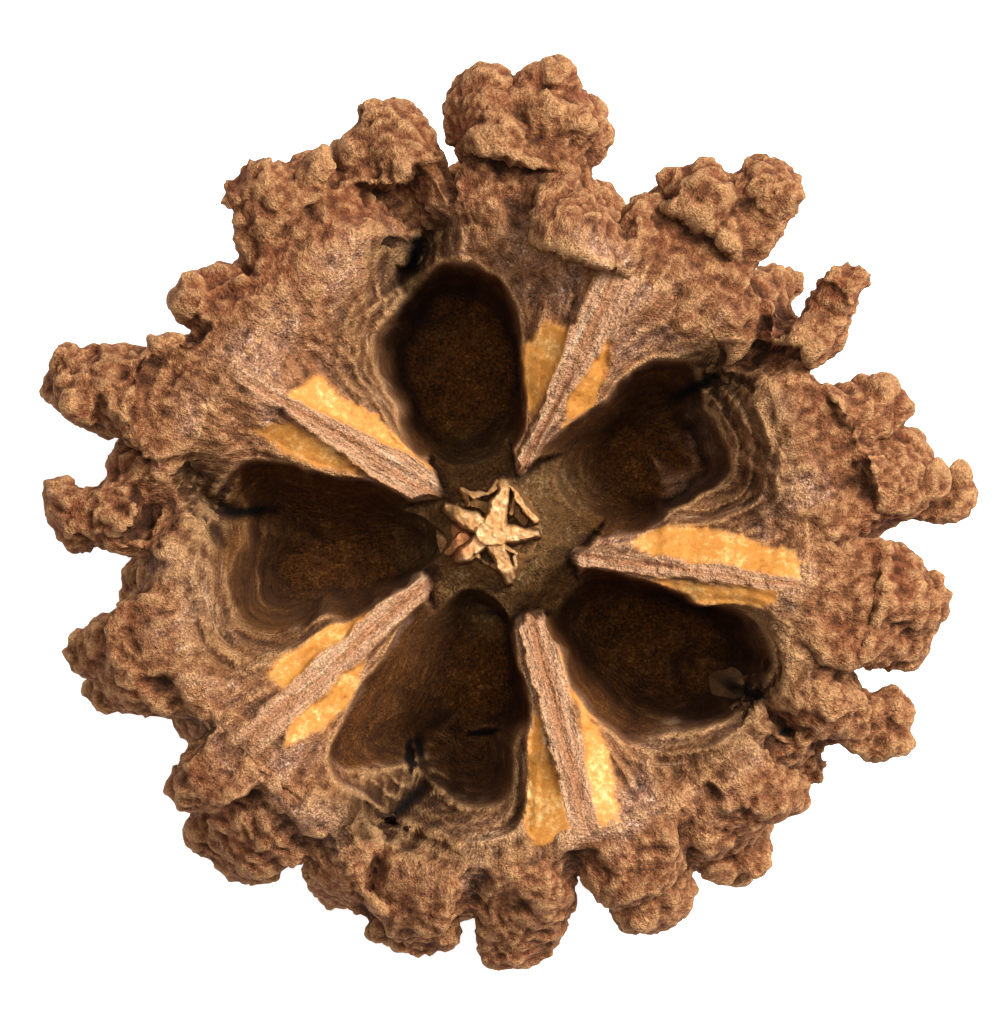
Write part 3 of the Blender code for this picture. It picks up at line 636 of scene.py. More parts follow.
# Azimuth, distance of the head from the axis, its height, its radius, and the root's azimuth
RIM_KNOBS = (
    (90.2, 21.2, 18.6, 2.5, 88.0),
    (84.6, 22.4, 19.2, 1.9, 84.0),
    (80.9, 20.9, 19.6, 2.2, 82.0),
    (63.0, 18.6, 18.8, 1.2, 61.0),
    (58.6, 19.8, 20.2, 2.0, 57.0),
    (51.4, 21.1, 20.0, 2.4, 51.0),
    (40.0, 19.0, 16.8, 1.5, 41.0),
    (33.0, 17.8, 17.4, 1.6, 32.0),
    (35.4, 21.7, 21.0, 1.4, 26.0),
    (17.4, 19.9, 19.0, 2.0, 17.0),
    (8.2, 20.4, 18.0, 2.7, 8.0),
    (4.6, 23.4, 17.4, 1.35, 6.0),
    (-9.8, 21.2, 18.8, 2.1, -10.0),
    (-14.6, 21.4, 17.4, 1.8, -14.0),
    (-27.2, 22.2, 16.4, 1.9, -27.0),
    (-37.0, 20.4, 14.2, 1.3, -37.0),
    (-43.9, 20.0, 18.2, 1.4, -44.0),
    (-52.5, 20.7, 15.4, 1.9, -51.0),
    (-66.4, 20.4, 17.0, 2.3, -66.0),
    (-86.3, 20.8, 16.2, 2.2, -86.0),
    (-99.8, 20.8, 16.0, 1.8, -100.0),
    (-105.0, 20.7, 15.2, 1.6, -105.0),
    (-110.2, 20.0, 14.2, 1.3, -110.0),
    (-114.8, 20.6, 13.2, 1.2, -114.0),
    (-129.4, 21.0, 13.6, 2.4, -129.0),
    (-140.5, 20.2, 18.2, 1.3, -140.0),
    (-157.0, 20.9, 15.0, 1.8, -157.0),
    (-163.2, 20.8, 17.6, 2.1, -163.0),
    (177.2, 21.5, 17.8, 1.9, 177.0),
    (170.8, 19.2, 14.4, 1.3, 171.0),
    (160.6, 22.5, 18.8, 2.2, 160.0),
    (155.5, 19.4, 19.6, 1.9, 155.0),
    (152.0, 17.8, 21.6, 1.3, 152.0),
    (141.5, 18.3, 19.8, 2.0, 141.0),
    (133.5, 18.0, 14.6, 1.3, 133.0),
    (127.8, 19.4, 18.8, 1.9, 128.0),
    (124.4, 21.4, 20.2, 1.8, 124.0),
    (118.2, 20.6, 19.2, 1.8, 118.0),
    (111.0, 19.6, 18.0, 1.7, 111.0),
    (105.6, 20.7, 19.0, 2.1, 106.0),
    (73.5, 15.9, 23.2, 1.7, 73.0),
)
# Height of the roots, how far the heads stand out, their size, and every how many rim knobs
LOWER_RANKS = (
    (12.2, 2.4, 0.85, 1),
    (8.6, 2.6, 0.90, 1),
    (5.4, 2.4, 0.85, 2),
    (3.0, 1.8, 0.75, 2),
    (1.3, 1.0, 0.60, 3),
)
LEAST_RANK_RADIUS, MOST_RANK_RADIUS, RANK_OVERHANG = 1.5, 2.0, 1.4
KNOB_SEED = 12
KNOB_FLARE, KNOB_FLARE_REACH, KNOB_NECK, ROOT_DEPTH = 1.0, 1.9, 0.84, 2.6
KNOB_ROOT_LEVEL, KNOB_ROOT_SHARE = 22.0, 0.45
WARTS, WART_SIZE = 5, (0.40, 0.60)


def ball_of(columns, rows):
    """A ball of radius 1, and its triangles."""
    turn, polar, triangles = closed_grid(columns, rows)
    around = np.sin(polar)
    return np.column_stack((around * np.cos(turn), around * np.sin(turn), np.cos(polar))), triangles


ball, ball_triangles = ball_of(40, 28)
wart_ball, wart_triangles = ball_of(18, 12)


def knob_points(surface, head, head_radius, seed):
    """A ball drawn out along the line from the husk to the head. Its radius is the head's, less at
    the neck, plus a bell-shaped flare at the husk, times two sizes of noise. A half sine bends it."""
    axis = head - surface
    outside = axis.length + 0.85 * head_radius
    turn = np.array(axis.to_track_quat("Z", "Y").to_matrix())
    along = (ball[:, 2] + 1.0) / 2.0 * (outside + ROOT_DEPTH) - ROOT_DEPTH
    flare = KNOB_FLARE * np.exp(-((np.maximum(along, 0.0) / KNOB_FLARE_REACH) ** 2))
    swell = KNOB_NECK + (1.0 - KNOB_NECK) * smooth_step((along / outside - 0.25) / 0.45)
    lumps = 1.0 + 0.2 * value_noise(ball, 0.9, seed) + 0.14 * value_noise(ball, 0.45, seed + 1)
    round_off = np.maximum(1.0 - ball[:, 2] ** 2, 0.1) ** -0.2
    local = ball * ((head_radius * swell + flare) * lumps * round_off)[:, None]
    local[:, 2] = along
    bend = 0.5 * np.sin(math.pi * np.clip(along / outside, 0.0, 1.0))
    local[:, 0] += bend * math.cos(seed)
    local[:, 1] += bend * math.sin(seed)
    return local @ turn.T + np.array(surface)


def add_knob(surface, head, head_radius, seed):
    """A knob, and the low bumps sunk into the outer half of its head, at places drawn by seed."""
    shells.append((knob_points(surface, head, head_radius, seed), ball_triangles))
    draw = np.random.default_rng(seed)
    outward = (head - surface).normalized()
    for _ in range(WARTS):
        aim = (Vector(draw.normal(size=3)).normalized() + 0.55 * outward).normalized()
        radius = head_radius * draw.uniform(*WART_SIZE)
        spot = head + aim * (head_radius * 1.02 - 0.6 * radius)
        shells.append((wart_ball * radius + np.array(spot), wart_triangles))


def polar_point(degrees, distance, height):
    """A point by its azimuth, its distance from the axis and its height."""
    a = math.radians(degrees)
    return Vector((distance * math.cos(a), distance * math.sin(a), height))


def husk_point(degrees, height):
    """A point of the husk's side under the knobs: the shoulder's superellipse above the widest
    line, and the side's curve below it."""
    rim = float(body_radius(np.array([math.radians(degrees)]))[0])
    if height > EQUATOR_HEIGHT:
        rise = (height - EQUATOR_HEIGHT) / (CREST_HEIGHT - EQUATOR_HEIGHT)
        outward = (1.0 - min(rise, 0.95) ** SHOULDER_FULLNESS) ** (1.0 / SHOULDER_FULLNESS)
        return polar_point(degrees, rim - CREST_INSET * (1.0 - outward), height)
    below = math.asin((EQUATOR_HEIGHT - height) / (EQUATOR_HEIGHT + BASE_SINK))
    return polar_point(degrees, rim * math.cos(below) ** WALL_ROUNDNESS, height)


for number, (azimuth, distance, height, radius, root_azimuth) in enumerate(RIM_KNOBS):
    surface = husk_point(root_azimuth, height + KNOB_ROOT_SHARE * (KNOB_ROOT_LEVEL - height))
    add_knob(surface, polar_point(azimuth, distance, height), radius, 20 + 2 * number)

draw = np.random.default_rng(KNOB_SEED)
ranked = [row for row in RIM_KNOBS if row[3] >= LEAST_RANK_RADIUS]
for rank, (height, stand_out, size, every) in enumerate(LOWER_RANKS):
    for number, (azimuth, distance, _, radius, _) in enumerate(ranked[::every]):
        azimuth += draw.uniform(-3.0, 3.0) * (rank + 1)
        surface = husk_point(azimuth, height + draw.uniform(-1.2, 1.2))
        outward = Vector((surface.x, surface.y, 0.0)).normalized()
        outward.z = -0.25 * rank - draw.uniform(0.0, 0.3)
        outward.normalize()
        radius = min(radius, MOST_RANK_RADIUS) * size * draw.uniform(0.85, 1.2)
        reach = stand_out * draw.uniform(0.8, 1.2) - 0.5 * radius
        reach = min(reach, distance - RANK_OVERHANG - surface.xy.length)
        add_knob(surface, surface + outward * max(reach, 0.4), radius, 200 + 60 * rank + number)

# Skin and knobs are one piece of dry wood, so their surfaces are grown into one, without a seam,
# and then crusted over.
GROWING_VOXEL = 0.20
SHOULDER_SHARE, SHOULDER_RUN = 0.88, 0.08
KNOB_TOP, KNOB_TOP_FALL = 21.9, 5.0
PALE_KNOB, PALE_KNOB_REACH, PALE_KNOB_RISE = (4.4, 15.3), 2.6, 7.0
MOST_TRIANGLES = 197000


def finished(mesh, kind, **settings):
    """A copy of the mesh, in triangles, with one modifier of this kind worked into it."""
    holder = shown("holder", mesh)
    modifier = holder.modifiers.new("work", kind)
    for name, value in settings.items():
        setattr(modifier, name, value)
    holder.modifiers.new("triangles", "TRIANGULATE")
    bpy.context.view_layer.update()
    result = bpy.data.meshes.new_from_object(
        holder.evaluated_get(bpy.context.evaluated_depsgraph_get())
    )
    bpy.data.objects.remove(holder)
    bpy.data.meshes.remove(mesh)
    return result


def read_mesh(mesh):
    """Points in millimetres, triangles and edges as arrays."""
    points = np.empty(3 * len(mesh.vertices), np.float32)
    mesh.vertices.foreach_get("co", points)
    corners = np.empty(len(mesh.loops), np.int32)
    mesh.loops.foreach_get("vertex_index", corners)
    edges = np.empty(2 * len(mesh.edges), np.int32)
    mesh.edges.foreach_get("vertices", edges)
    return points.reshape(-1, 3).astype(float) / MM, corners.reshape(-1, 3), edges.reshape(-1, 2)


def largest_shell(points, triangles, edges):
    """Only the shell with the most points. Each point takes the lowest number among its
    neighbours, over and over, until every shell has one number."""
    label = np.arange(len(points))
    while True:
        low = np.minimum(label[edges[:, 0]], label[edges[:, 1]])
        fresh = label.copy()
        np.minimum.at(fresh, edges[:, 0], low)
        np.minimum.at(fresh, edges[:, 1], low)
        fresh = fresh[fresh]
        if np.array_equal(fresh, label):
            break
        label = fresh
    kept = label == np.bincount(label).argmax()
    number = np.cumsum(kept) - 1
    return points[kept], number[triangles[kept[triangles[:, 0]]]]


parts, offset = [], 0
for shell_points, shell_triangles in shells:
    parts.append(shell_triangles + offset)
    offset += len(shell_points)
points = np.concatenate([s[0] for s in shells])
warp = smooth_step((np.hypot(points[:, 0], points[:, 1]) - 15.5) / 2.0) * (points[:, 2] > 1.0)
for axis in range(3):
    shift = 0.34 * value_noise(points, 2.6, 60 + axis) + 0.24 * value_noise(points, 1.3, 70 + axis)
    points[:, axis] += warp * shift
loose = mesh_of("loose", points * MM, np.concatenate(parts))
grown = finished(loose, "REMESH", mode="VOXEL", voxel_size=GROWING_VOXEL * MM)
points, triangles = largest_shell(*read_mesh(grown))
bpy.data.meshes.remove(grown)
edges = edges_of(triangles)
x, y, radius, rim = on_plan(points)
share = radius / rim
knob_tops = KNOB_TOP - KNOB_TOP_FALL * (share - SHOULDER_SHARE) - 0.5 * crack_depth(x, y)
lid = heart_height(x, y) - CUP_GAP * (1.0 - smooth_step((share - CUP_SHARE) / CUP_RUN))
lid += (knob_tops - lid) * smooth_step((share - SHOULDER_SHARE) / SHOULDER_RUN)
from_pale_knob = np.hypot(x - PALE_KNOB[0], y - PALE_KNOB[1])
lid += PALE_KNOB_RISE * np.exp(-((from_pale_knob / PALE_KNOB_REACH) ** 4))
lid = np.where(share < CUP_SHARE - 0.005, cup_height(x, y, share), lid)
points[:, 2] = np.where(share < 1.1, np.minimum(points[:, 2], lid), points[:, 2])
for _ in range(3):
    points += 0.5 * (mean_of_neighbours(points, edges) - points)
_, _, radius, rim = on_plan(points)
outside = smooth_step((radius / rim - CUP_SHARE) / 0.02 + (points[:, 2] < 5.0))
points += outward_normals(points, triangles) * (outside * husk_relief(points, rim))[:, None]
points[:, 2] = np.maximum(points[:, 2], 0.0)

mesh = mesh_of("grown_surface", points * MM, triangles)
mesh = finished(mesh, "DECIMATE", ratio=min(1.0, MOST_TRIANGLES / len(triangles)))
mesh.name = "capsule_husk"
points, triangles, edges = read_mesh(mesh)
points[:, 2] = np.maximum(points[:, 2], 0.0)
mesh.vertices.foreach_set("co", (points * MM).astype(np.float32).ravel())

fine_hollow, broad_hollow = hollows(points, triangles, edges, 24)
x, y, radius, rim = on_plan(points)
crack = crack_depth(x, y) * smooth_step((radius - CRACKS_BEGIN) / CRACKS_RUN)
inside, _, round_chamber, chamber, lined = by_chamber(x, y)
ring_places, ringed = along_rings(inside, round_chamber, chamber, lined)
on_top = smooth_step((points[:, 2] - 17.0) / 2.0)
closed, _ = closed_height(x, y, rim)
in_crack = smooth_step((closed - points[:, 2] - 0.25 * crack) / 0.8)
in_crack *= smooth_step((1.06 - radius / rim) / 0.08)
valleys, slit_shade = crack_marks(x, y)
seen_hole = holes(x, y) * smooth_step((1.12 - radius / rim) / 0.04)
put(
    mesh,
    grain=drawn_out(points, radius, GRAIN_SHARE),
    ring_grain=ring_places,
    ringed=ringed * on_top,
    crack=valleys * in_crack,
    slit=np.maximum(slit_shade * in_crack, seen_hole),
    knob=smooth_step((radius - rim + 2.0) / 2.5),
    fine_hollow=np.clip(fine_hollow / 0.15, -1.0, 1.0),
    broad_hollow=np.clip(broad_hollow / 0.8, -1.0, 1.0),
)
mesh.shade_smooth()
capsule_husk = shown("capsule_husk", mesh)


def tone(red, green, blue):
    """A colour as it looks on a screen, from 0 to 255, as the linear colour that a shader takes."""
    value = np.array((red, green, blue)) / 255.0
    value = np.where(value <= 0.04045, value / 12.92, ((value + 0.055) / 1.055) ** 2.4)
    return (*value, 1.0)


def node(tree, kind, **settings):
    """A shader node with its own settings made, set down after the ones before it."""
    made, count = tree.nodes.new(kind), len(tree.nodes)
    made.location = (240 * (count // 5) - 4500, 600 - 300 * (count % 5))
    for name, value in settings.items():
        setattr(made, name, value)
    return made


def join(value, socket):
    """A link from another socket into this one, or a plain value set on it."""
    if isinstance(value, bpy.types.NodeSocket):
        socket.id_data.links.new(value, socket)
    else:
        socket.default_value = value


def give(made, *values, **named):
    """The node, with its first inputs given values or links in turn, and others by name."""
    for value, socket in zip(values, made.inputs):
        join(value, socket)
    for name, value in named.items():
        join(value, made.inputs[name.replace("_", " ")])
    return made


def mixed(tree, factor, first, second, kind="RGBA", blend="MIX"):
    """The first and second colour or number mixed by a factor."""
    made = node(tree, "ShaderNodeMix", data_type=kind, blend_type=blend, clamp_factor=True)
    slots = {"RGBA": (0, 6, 7), "FLOAT": (0, 2, 3)}[kind]
    for value, slot in zip((factor, first, second), slots):
        join(value, made.inputs[slot])
    return made.outputs[{"RGBA": 2, "FLOAT": 0}[kind]]


def sums(tree, operation, first, second, clamp=False):
    """One sum on two numbers."""
    return give(node(tree, "ShaderNodeMath", operation=operation, use_clamp=clamp), first, second).outputs[0]


def times(tree, value, share, clamp=False):
    """One number multiplied by another."""
    return sums(tree, "MULTIPLY", value, share, clamp)


def scaled(tree, vector, scale):
    """A place or colour multiplied by a number."""
    return give(node(tree, "ShaderNodeVectorMath", operation="SCALE"), vector, Scale=scale).outputs[0]


def noise(tree, vector, scale, detail, roughness=0.5, distortion=0.0, **settings):
    """Noise over these places."""
    made = node(tree, "ShaderNodeTexNoise", **settings)
    give(made, Vector=vector, Scale=scale, Detail=detail, Roughness=roughness, Distortion=distortion)
    return made.outputs["Fac"]


def ramp(tree, value, start, end, least=0.0, most=1.0, curve="SMOOTHSTEP"):
    """The value taken from the range start to end into the range least to most."""
    made = node(tree, "ShaderNodeMapRange", interpolation_type=curve)
    return give(made, value, start, end, least, most).outputs[0]


def read(tree, name, output="Fac"):
    """A value kept on the mesh's points."""
    return node(tree, "ShaderNodeAttribute", attribute_name=name).outputs[output]


def new_material(name):
    """A material with its node tree, its shader, and the places on its piece in millimetres."""
    material = bpy.data.materials.new(name)
    material.use_nodes = True
    tree = material.node_tree
    mm = scaled(tree, node(tree, "ShaderNodeTexCoord").outputs["Object"], 1.0 / MM)
    return material, tree, tree.nodes["Principled BSDF"], mm


# Mottling, used by every finish: three tones in soft blotches, broken up by a finer speckle
mottle = bpy.data.node_groups.new("mottled_tones", "ShaderNodeTree")
for direction, label, kind in (
    ("INPUT", "Vector", "Vector"), ("INPUT", "Dark", "Color"), ("INPUT", "Middle", "Color"),
    ("INPUT", "Light", "Color"), ("INPUT", "Blotch", "Float"), ("INPUT", "Speckle", "Float"),
    ("INPUT", "Grit", "Float"), ("INPUT", "Bias", "Float"),
    ("OUTPUT", "Color", "Color"), ("OUTPUT", "Fine", "Float"),
):
    mottle.interface.new_socket(label, in_out=direction, socket_type="NodeSocket" + kind)
given, out = node(mottle, "NodeGroupInput").outputs, node(mottle, "NodeGroupOutput")
blotch = noise(mottle, given["Vector"], given["Blotch"], 5.0, 0.62)
speckle = noise(mottle, given["Vector"], given["Speckle"], 3.0, 0.7)
level = sums(mottle, "ADD", mixed(mottle, given["Grit"], blotch, speckle, "FLOAT"), given["Bias"])
color = mixed(mottle, ramp(mottle, level, 0.30, 0.50), given["Dark"], given["Middle"])
color = mixed(mottle, ramp(mottle, level, 0.50, 0.70), color, given["Light"])
give(out, Color=color, Fine=speckle)


def finish(tree, vector, dark, middle, light, blotch, speckle, grit, bias=0.0):
    """The mottling placed in a material with its three tones, sizes, share of speckle and bias."""
    return give(
        node(tree, "ShaderNodeGroup", node_tree=mottle), Vector=vector, Dark=tone(*dark),
        Middle=tone(*middle), Light=tone(*light), Blotch=blotch, Speckle=speckle, Grit=grit, Bias=bias,
    ).outputs["Color"]


# The capsule's own finish: dry, matt wood, crusted on the outside, fibrous on the rim, felted
# inside the pits, with smooth waxy facets and fibrous cut edges on the septa
dry_wood, tree, shader, mm = new_material("dry_capsule_wood")
grain, ring_grain, septum_grain = (read(tree, f"{name}grain", "Vector") for name in ("", "ring_", "septum_"))
crusted = finish(tree, mm, (84, 48, 30), (138, 86, 54), (204, 150, 100), 0.8, 4.2, 0.6)
fibrous = finish(tree, grain, (84, 50, 32), (154, 102, 66), (226, 176, 130), 1.6, 6.5, 0.5)
bloomed = finish(tree, mm, (80, 56, 44), (168, 122, 94), (242, 212, 184), 2.2, 7.0, 0.5, -0.01)
ringed_wood = finish(tree, ring_grain, (42, 24, 11), (118, 78, 44), (238, 198, 154), 2.4, 6.5, 0.35, -0.01)
fissured = finish(tree, grain, (26, 14, 6), (78, 48, 24), (158, 118, 74), 1.6, 5.0, 0.55, -0.02)
felted = finish(tree, mm, (36, 15, 3), (120, 67, 15), (206, 143, 62), 0.5, 5.5, 0.72, -0.03)
ringed_pit = finish(tree, ring_grain, (30, 15, 5), (100, 62, 28), (176, 128, 78), 2.0, 6.0, 0.4, -0.02)
stone = finish(tree, mm, (50, 31, 14), (112, 80, 44), (186, 154, 108), 0.6, 4.5, 0.5)
waxy = finish(tree, mm, (150, 92, 35), (198, 134, 62), (238, 194, 126), 0.55, 3.4, 0.45, 0.02)
cut = finish(tree, septum_grain, (110, 66, 42), (188, 134, 94), (246, 216, 178), 2.0, 5.0, 0.5, 0.01)
RIDGED = {"noise_type": "RIDGED_MULTIFRACTAL", "normalize": True}

# Rim and knobs: fibres with a pale bloom and threads on the one, reddish patches on the others
bloom = ramp(tree, noise(tree, mm, 0.35, 4.0), 0.46, 0.62)
rim_color = mixed(tree, bloom, fibrous, bloomed)
thread = ramp(tree, noise(tree, grain, 0.9, 5.0, 0.5, 0.9, **RIDGED), 0.50, 0.80, 0.0, 0.65)
rim_color = mixed(tree, thread, rim_color, tone(248, 216, 180))
reddish = times(tree, ramp(tree, noise(tree, mm, 0.28, 3.0), 0.45, 0.65), 0.6)
knob_color = mixed(tree, reddish, crusted, tone(132, 72, 44))
color = mixed(tree, read(tree, "knob"), rim_color, knob_color)
ringed = read(tree, "ringed")
color = mixed(tree, times(tree, ringed, 0.72), color, ringed_wood)
color = mixed(tree, times(tree, read(tree, "crack"), 0.95), color, fissured)

# Pits: felt with painted shade that deepens further down, harder stone-like wood in the middle, and the
# growth lines
pit = read(tree, "pit")
pit_color = mixed(tree, times(tree, read(tree, "depth"), 0.5), felted, tone(20, 8, 1))
pit_color = mixed(tree, read(tree, "centre"), pit_color, stone)
pit_color = mixed(tree, times(tree, ringed, 0.8), pit_color, ringed_pit)
color = mixed(tree, pit, color, pit_color)

# Edges that stand proud get a painted highlight, and hollows and the creases of the wrinkled bump get
# painted shade
fine_hollow = read(tree, "fine_hollow")
# Painted highlight on what stands proud, weaker inside the pits
proud_highlight = mixed(tree, pit, -0.5, -0.08, "FLOAT")
color = mixed(tree, times(tree, fine_hollow, proud_highlight, clamp=True), color, tone(222, 172, 118))
# Painted shade in the fine and broad hollows
color = mixed(tree, times(tree, fine_hollow, 0.85, clamp=True), color, tone(52, 29, 16))
color = mixed(tree, times(tree, read(tree, "broad_hollow"), 0.6, clamp=True), color, tone(46, 26, 14))
# Painted shade in the creases that this wrinkle noise also cuts into the bump
wrinkles = noise(tree, mm, 1.3, 4.0, 0.5, 0.6, **RIDGED)
color = mixed(tree, ramp(tree, wrinkles, 0.42, 0.72, 0.0, 0.6), color, tone(56, 31, 16))

# Waxy facets under a whitish veil, and the septa's cut edges, paler towards their borders
flank = read(tree, "flank")
color = mixed(tree, flank, color, mixed(tree, times(tree, thread, 0.55), waxy, tone(238, 206, 156)))
# The cut edge is darkest along the groove in its middle, as painted shade, and paler towards its borders
stripe = give(node(tree, "ShaderNodeValToRGB"), read(tree, "across_edge"))
STRIPE_TONES = (
    (0.0, (136, 88, 58)), (0.2, (168, 116, 80)), (0.5, (214, 176, 146)), (0.78, (224, 190, 156)),
    (1.0, (214, 164, 108)),
)
stops = stripe.color_ramp.elements
for number, (position, shade) in enumerate(STRIPE_TONES):
    stop = stops[number] if number < 2 else stops.new(position)
    stop.position, stop.color = position, tone(*shade)
edge_color = mixed(tree, 0.75, stripe.outputs["Color"], cut)
color = mixed(tree, read(tree, "septum_edge"), color, edge_color)
# Painted shade: the slits and holes are painted near black
color = mixed(tree, read(tree, "slit"), color, tone(14, 8, 4))

# Grain over all of it: a fine salt-and-pepper of single fibres, lighter where the same noise
# raises the bump and darker where it sinks it: grain with painted light and shade
grit = noise(tree, mm, 7.0, 2.0, 0.8)
strength = ramp(tree, grit, 0.30, 0.70, 0.52, 1.48, "LINEAR")
strength = mixed(tree, times(tree, flank, 0.85), strength, 1.0, "FLOAT")
color = mixed(tree, 1.0, color, (0.90, 0.86, 0.82, 1.0), blend="MULTIPLY")
rough = mixed(tree, flank, 0.92, 0.55, "FLOAT")
# The crust's speckle, which lightens and darkens its mottling, also raises and sinks this bump: partly
# painted light and shade
relief = sums(tree, "ADD", crusted.node.outputs["Fine"], grit)
relief = sums(tree, "SUBTRACT", relief, wrinkles)
relief = sums(tree, "ADD", relief, noise(tree, grain, 5.0, 3.0))
calm = mixed(tree, flank, 0.8, 0.15, "FLOAT")
bump = give(node(tree, "ShaderNodeBump"), Height=relief, Strength=calm, Distance=0.40 * MM)
give(
    shader, Base_Color=scaled(tree, color, strength), Roughness=rough, Specular_IOR_Level=0.15,
    Normal=bump.outputs["Normal"],
)

heart_mesh.materials.append(dry_wood)
mesh.materials.append(dry_wood)
for piece in (capsule_heart, capsule_husk):
    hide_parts("capsule")
    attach(piece, "root")

# The column's stump. In the real thing it is pale pith in the middle of the heart, broken off into
# a small star, with thin curved walls between the rays. It grows out of the heart's floor. Here it
# is a disc whose upper side rises where a point is near one of the walls.
COLUMN_REACH, COLUMN_FOOT = 3.2, 11.0
COLUMN_COLUMNS, COLUMN_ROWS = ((420, 84))

# Each wall as a run between two points, with its half width at each, and its height
WALLS = (
    (-0.50, -0.25, 0.10, -0.30, 0.52, 0.44, 2.9),
    (-0.15, 0.10, 0.39, 2.55, 0.44, 0.12, 2.8),
    (0.10, -0.22, 1.97, -0.22, 0.42, 0.08, 2.6),
    (-0.60, 0.05, -2.60, 1.10, 0.40, 0.10, 2.5),
    (-0.60, -0.45, -2.00, -1.55, 0.40, 0.09, 2.6),
    (-0.05, -0.60, 0.67, -2.60, 0.40, 0.14, 2.4),
    (0.95, 1.87, 1.97, 0.47, 0.09, 0.12, 2.7),
    (0.62, 2.35, 0.95, 1.87, 0.06, 0.09, 2.4),
    (0.95, 1.87, 0.72, 0.85, 0.07, 0.10, 1.7),
    (-1.75, 2.15, -1.25, 1.78, 0.09, 0.12, 2.5),
    (-1.25, 1.78, -0.55, 1.95, 0.12, 0.10, 2.4),
    (-0.55, 1.95, 0.05, 2.50, 0.10, 0.08, 2.5),
    (-1.75, 2.15, -1.60, 1.35, 0.08, 0.08, 2.0),
    (-2.60, 1.10, -1.60, 1.35, 0.07, 0.07, 1.4),
    (-1.25, 1.45, -0.60, 1.15, 0.22, 0.26, 1.3),
    (-2.55, -1.10, -1.75, -0.40, 0.20, 0.26, 1.7),
    (-2.00, -1.55, -1.15, -1.40, 0.08, 0.08, 1.8),
    (-1.15, -1.40, -0.45, -1.75, 0.08, 0.08, 1.8),
    (-0.45, -1.75, 0.10, -1.95, 0.08, 0.10, 1.6),
    (0.10, -0.95, 0.42, -0.85, 0.08, 0.08, 2.0),
    (0.42, -0.85, 0.98, -1.15, 0.08, 0.07, 2.0),
    (0.98, -1.15, 0.95, -1.80, 0.07, 0.07, 1.9),
    (0.95, -1.80, 0.66, -2.35, 0.07, 0.10, 1.8),
    (0.55, -1.20, 0.66, -1.75, 0.16, 0.12, 1.2),
    (0.85, 1.20, 1.40, 0.50, 0.22, 0.18, 1.2),
)

# Sinks in the floor beside the walls: middle, reach and softness, and a spot where they are red
SINKS, SINK_DEPTH = ((-0.55, -1.55, 0.42, 0.2), (-1.75, 1.35, 0.35, 0.25)), 0.9
RED_SPOT = (-2.05, -0.6)

turn, way_out, past_border, triangles = disc_grid(COLUMN_COLUMNS, COLUMN_ROWS)
radius = np.where(past_border > 2, 0.0, COLUMN_REACH * way_out)
x, y = radius * np.cos(turn), radius * np.sin(turn)
bent_x = x + 0.10 * flat_noise(x, y, 0.5, 51) + 0.04 * flat_noise(x, y, 0.18, 52)
bent_y = y + 0.10 * flat_noise(x, y, 0.5, 53) + 0.04 * flat_noise(x, y, 0.18, 54)
rise = np.zeros_like(x)
for x0, y0, x1, y1, start, end, high_wall in WALLS:
    run_x, run_y = x1 - x0, y1 - y0
    u = np.clip(((bent_x - x0) * run_x + (bent_y - y0) * run_y) / (run_x**2 + run_y**2), 0.0, 1.0)
    away = np.hypot(bent_x - x0 - u * run_x, bent_y - y0 - u * run_y)
    slope = 0.12 + 0.26 * (start > 0.3)
    beside = smooth_step((away - start - (end - start) * u) / slope)
    rise = np.maximum(rise, 0.72 * high_wall * (1.0 - beside))
floor_here = CENTRE_FLOOR + 0.25 - SINK_DEPTH * smooth_step((radius - 2.1) / 0.9)
for middle_x, middle_y, reach, softness in SINKS:
    away = np.hypot(x - middle_x, y - middle_y)
    floor_here -= SINK_DEPTH * smooth_step((reach - away) / softness)
floor_here += 0.10 * flat_noise(x, y, 0.35, 55)
points = np.column_stack((x, y, floor_here + rise + 0.05 * flat_noise(x, y, 0.16, 56) * (rise > 0.2)))
points[:, 2] = np.where(past_border > 0, COLUMN_FOOT, points[:, 2])
column_mesh = mesh_of("capsule_column", points * MM, triangles)
reddened = smooth_step((1.0 - np.hypot(x - RED_SPOT[0], y - RED_SPOT[1])) / 0.4)
put(column_mesh, wall_rise=np.clip(rise / 2.4, 0.0, 1.0), wall_red=reddened)
column_mesh.shade_smooth()
capsule_column = shown("capsule_column", column_mesh)

pale_pith, tree, shader, mm = new_material("pale_pith")
pale = finish(tree, mm, (126, 84, 46), (194, 148, 98), (246, 218, 172), 1.6, 6.0, 0.4, 0.03)
stone = finish(tree, mm, (46, 28, 13), (106, 74, 42), (182, 148, 104), 1.0, 5.0, 0.5)
color = mixed(tree, ramp(tree, read(tree, "wall_rise"), 0.25, 0.95), stone, pale)
color = mixed(tree, times(tree, read(tree, "wall_red"), 0.7), color, tone(176, 116, 76))
color = mixed(tree, 1.0, color, (0.96, 0.88, 0.78, 1.0), blend="MULTIPLY")
# The speckle that lightens and darkens the pale mottling also raises and sinks this bump: partly painted
# light and shade
bump = node(tree, "ShaderNodeBump")
give(bump, Height=pale.node.outputs["Fine"], Strength=0.5, Distance=0.08 * MM)
give(shader, Base_Color=color, Roughness=0.85, Specular_IOR_Level=0.15, Normal=bump.outputs["Normal"])
column_mesh.materials.append(pale_pith)
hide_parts("capsule")
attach(capsule_column, "root")

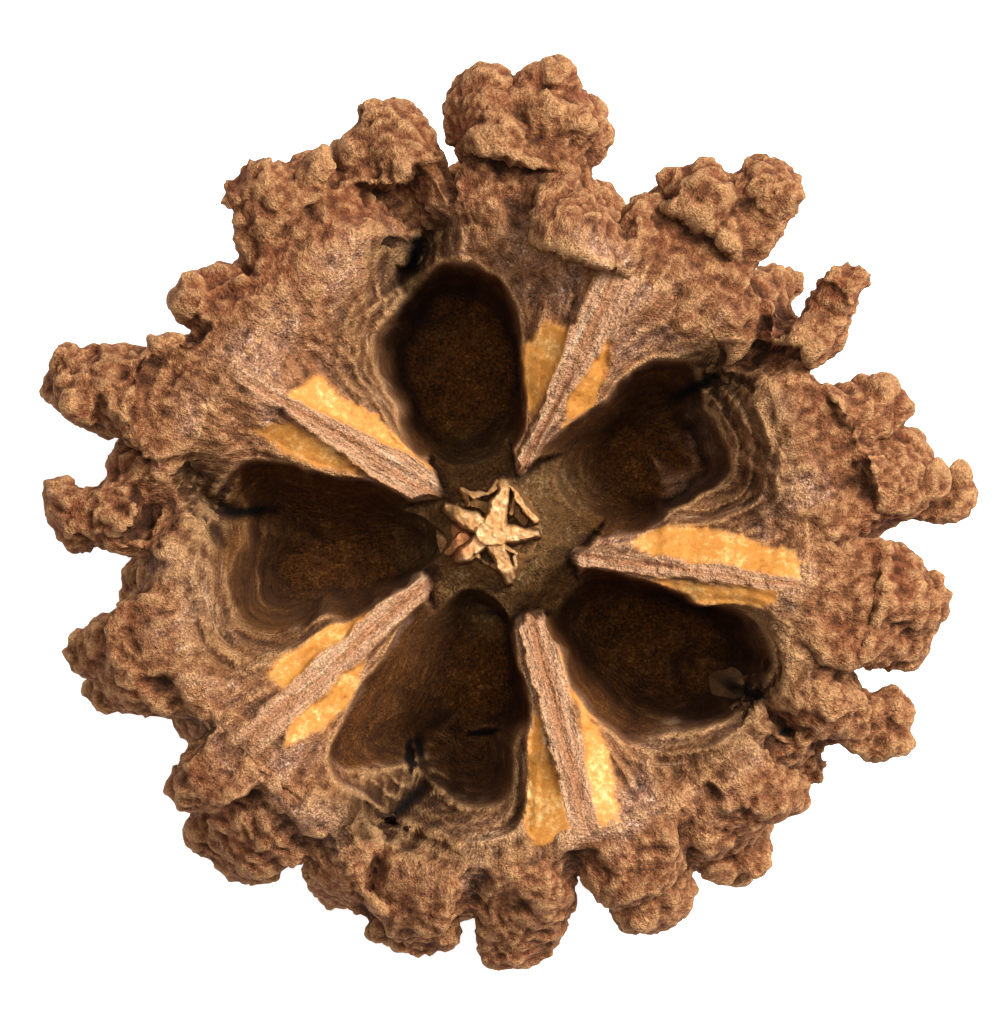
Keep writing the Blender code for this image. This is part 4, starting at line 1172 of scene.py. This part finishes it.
# The floor: a plain pale sheet that the capsule stands on
FLOOR_REACH = 0.6
corners = FLOOR_REACH * np.array(((-1, -1, 0), (1, -1, 0), (1, 1, 0), (-1, 1, 0)))
floor_mesh = mesh_of("floor", corners, np.array(((0, 1, 2), (0, 2, 3))))
floor = shown("floor", floor_mesh)
paper = bpy.data.materials.new("pale_paper")
paper.use_nodes = True
give(
    paper.node_tree.nodes["Principled BSDF"], Base_Color=(0.86, 0.86, 0.86, 1.0), Roughness=0.9,
    Emission_Color=(1.0, 1.0, 1.0, 1.0), Emission_Strength=0.8,
)
floor_mesh.materials.append(paper)

# Soft studio light: a wide panel to the upper right of the picture, a weaker one almost
# overhead, and an even white surround
LAMP_DISTANCE = 0.5


def lamp(name, azimuth, elevation, side, power):
    """A square panel that faces the capsule from this direction."""
    light = bpy.data.lights.new(name, "AREA")
    light.shape, light.size, light.energy = "SQUARE", side, power
    holder = shown(name, light)
    a, e = math.radians(azimuth), math.radians(elevation)
    aim = Vector((math.cos(a) * math.cos(e), math.sin(a) * math.cos(e), math.sin(e)))
    holder.location = aim * LAMP_DISTANCE + Vector((0.0, 0.0, 0.015))
    holder.rotation_mode = "QUATERNION"
    holder.rotation_quaternion = aim.to_track_quat("Z", "Y")


lamp("key_panel", 32.0, 46.0, 0.20, 5.0)
lamp("top_panel", 90.0, 84.0, 0.20, 1.2)
surround = bpy.data.worlds.new("white_surround")
surround.use_nodes = True
give(surround.node_tree.nodes["Background"], Color=(1.0, 1.0, 1.0, 1.0), Strength=0.24)
bpy.context.scene.world = surround
bpy.context.scene.view_settings.view_transform = "Standard"

# The camera looks straight down with a long lens, as the photograph does, with +Y up in the picture
FRAME_HEIGHT = 53.06 * MM
VIEW_CENTRE = (0.21 * MM, 0.93 * MM)
LENS_LEVEL, STAND_OFF = 18.0 * MM, 0.45
camera = shown("camera", bpy.data.cameras.new("camera"))
camera.data.sensor_width = 36.0
camera.data.lens = 36.0 * STAND_OFF / FRAME_HEIGHT
camera.data.clip_start, camera.data.clip_end = 0.01, 5.0
camera.location = (*VIEW_CENTRE, LENS_LEVEL + STAND_OFF)
bpy.context.scene.camera = camera
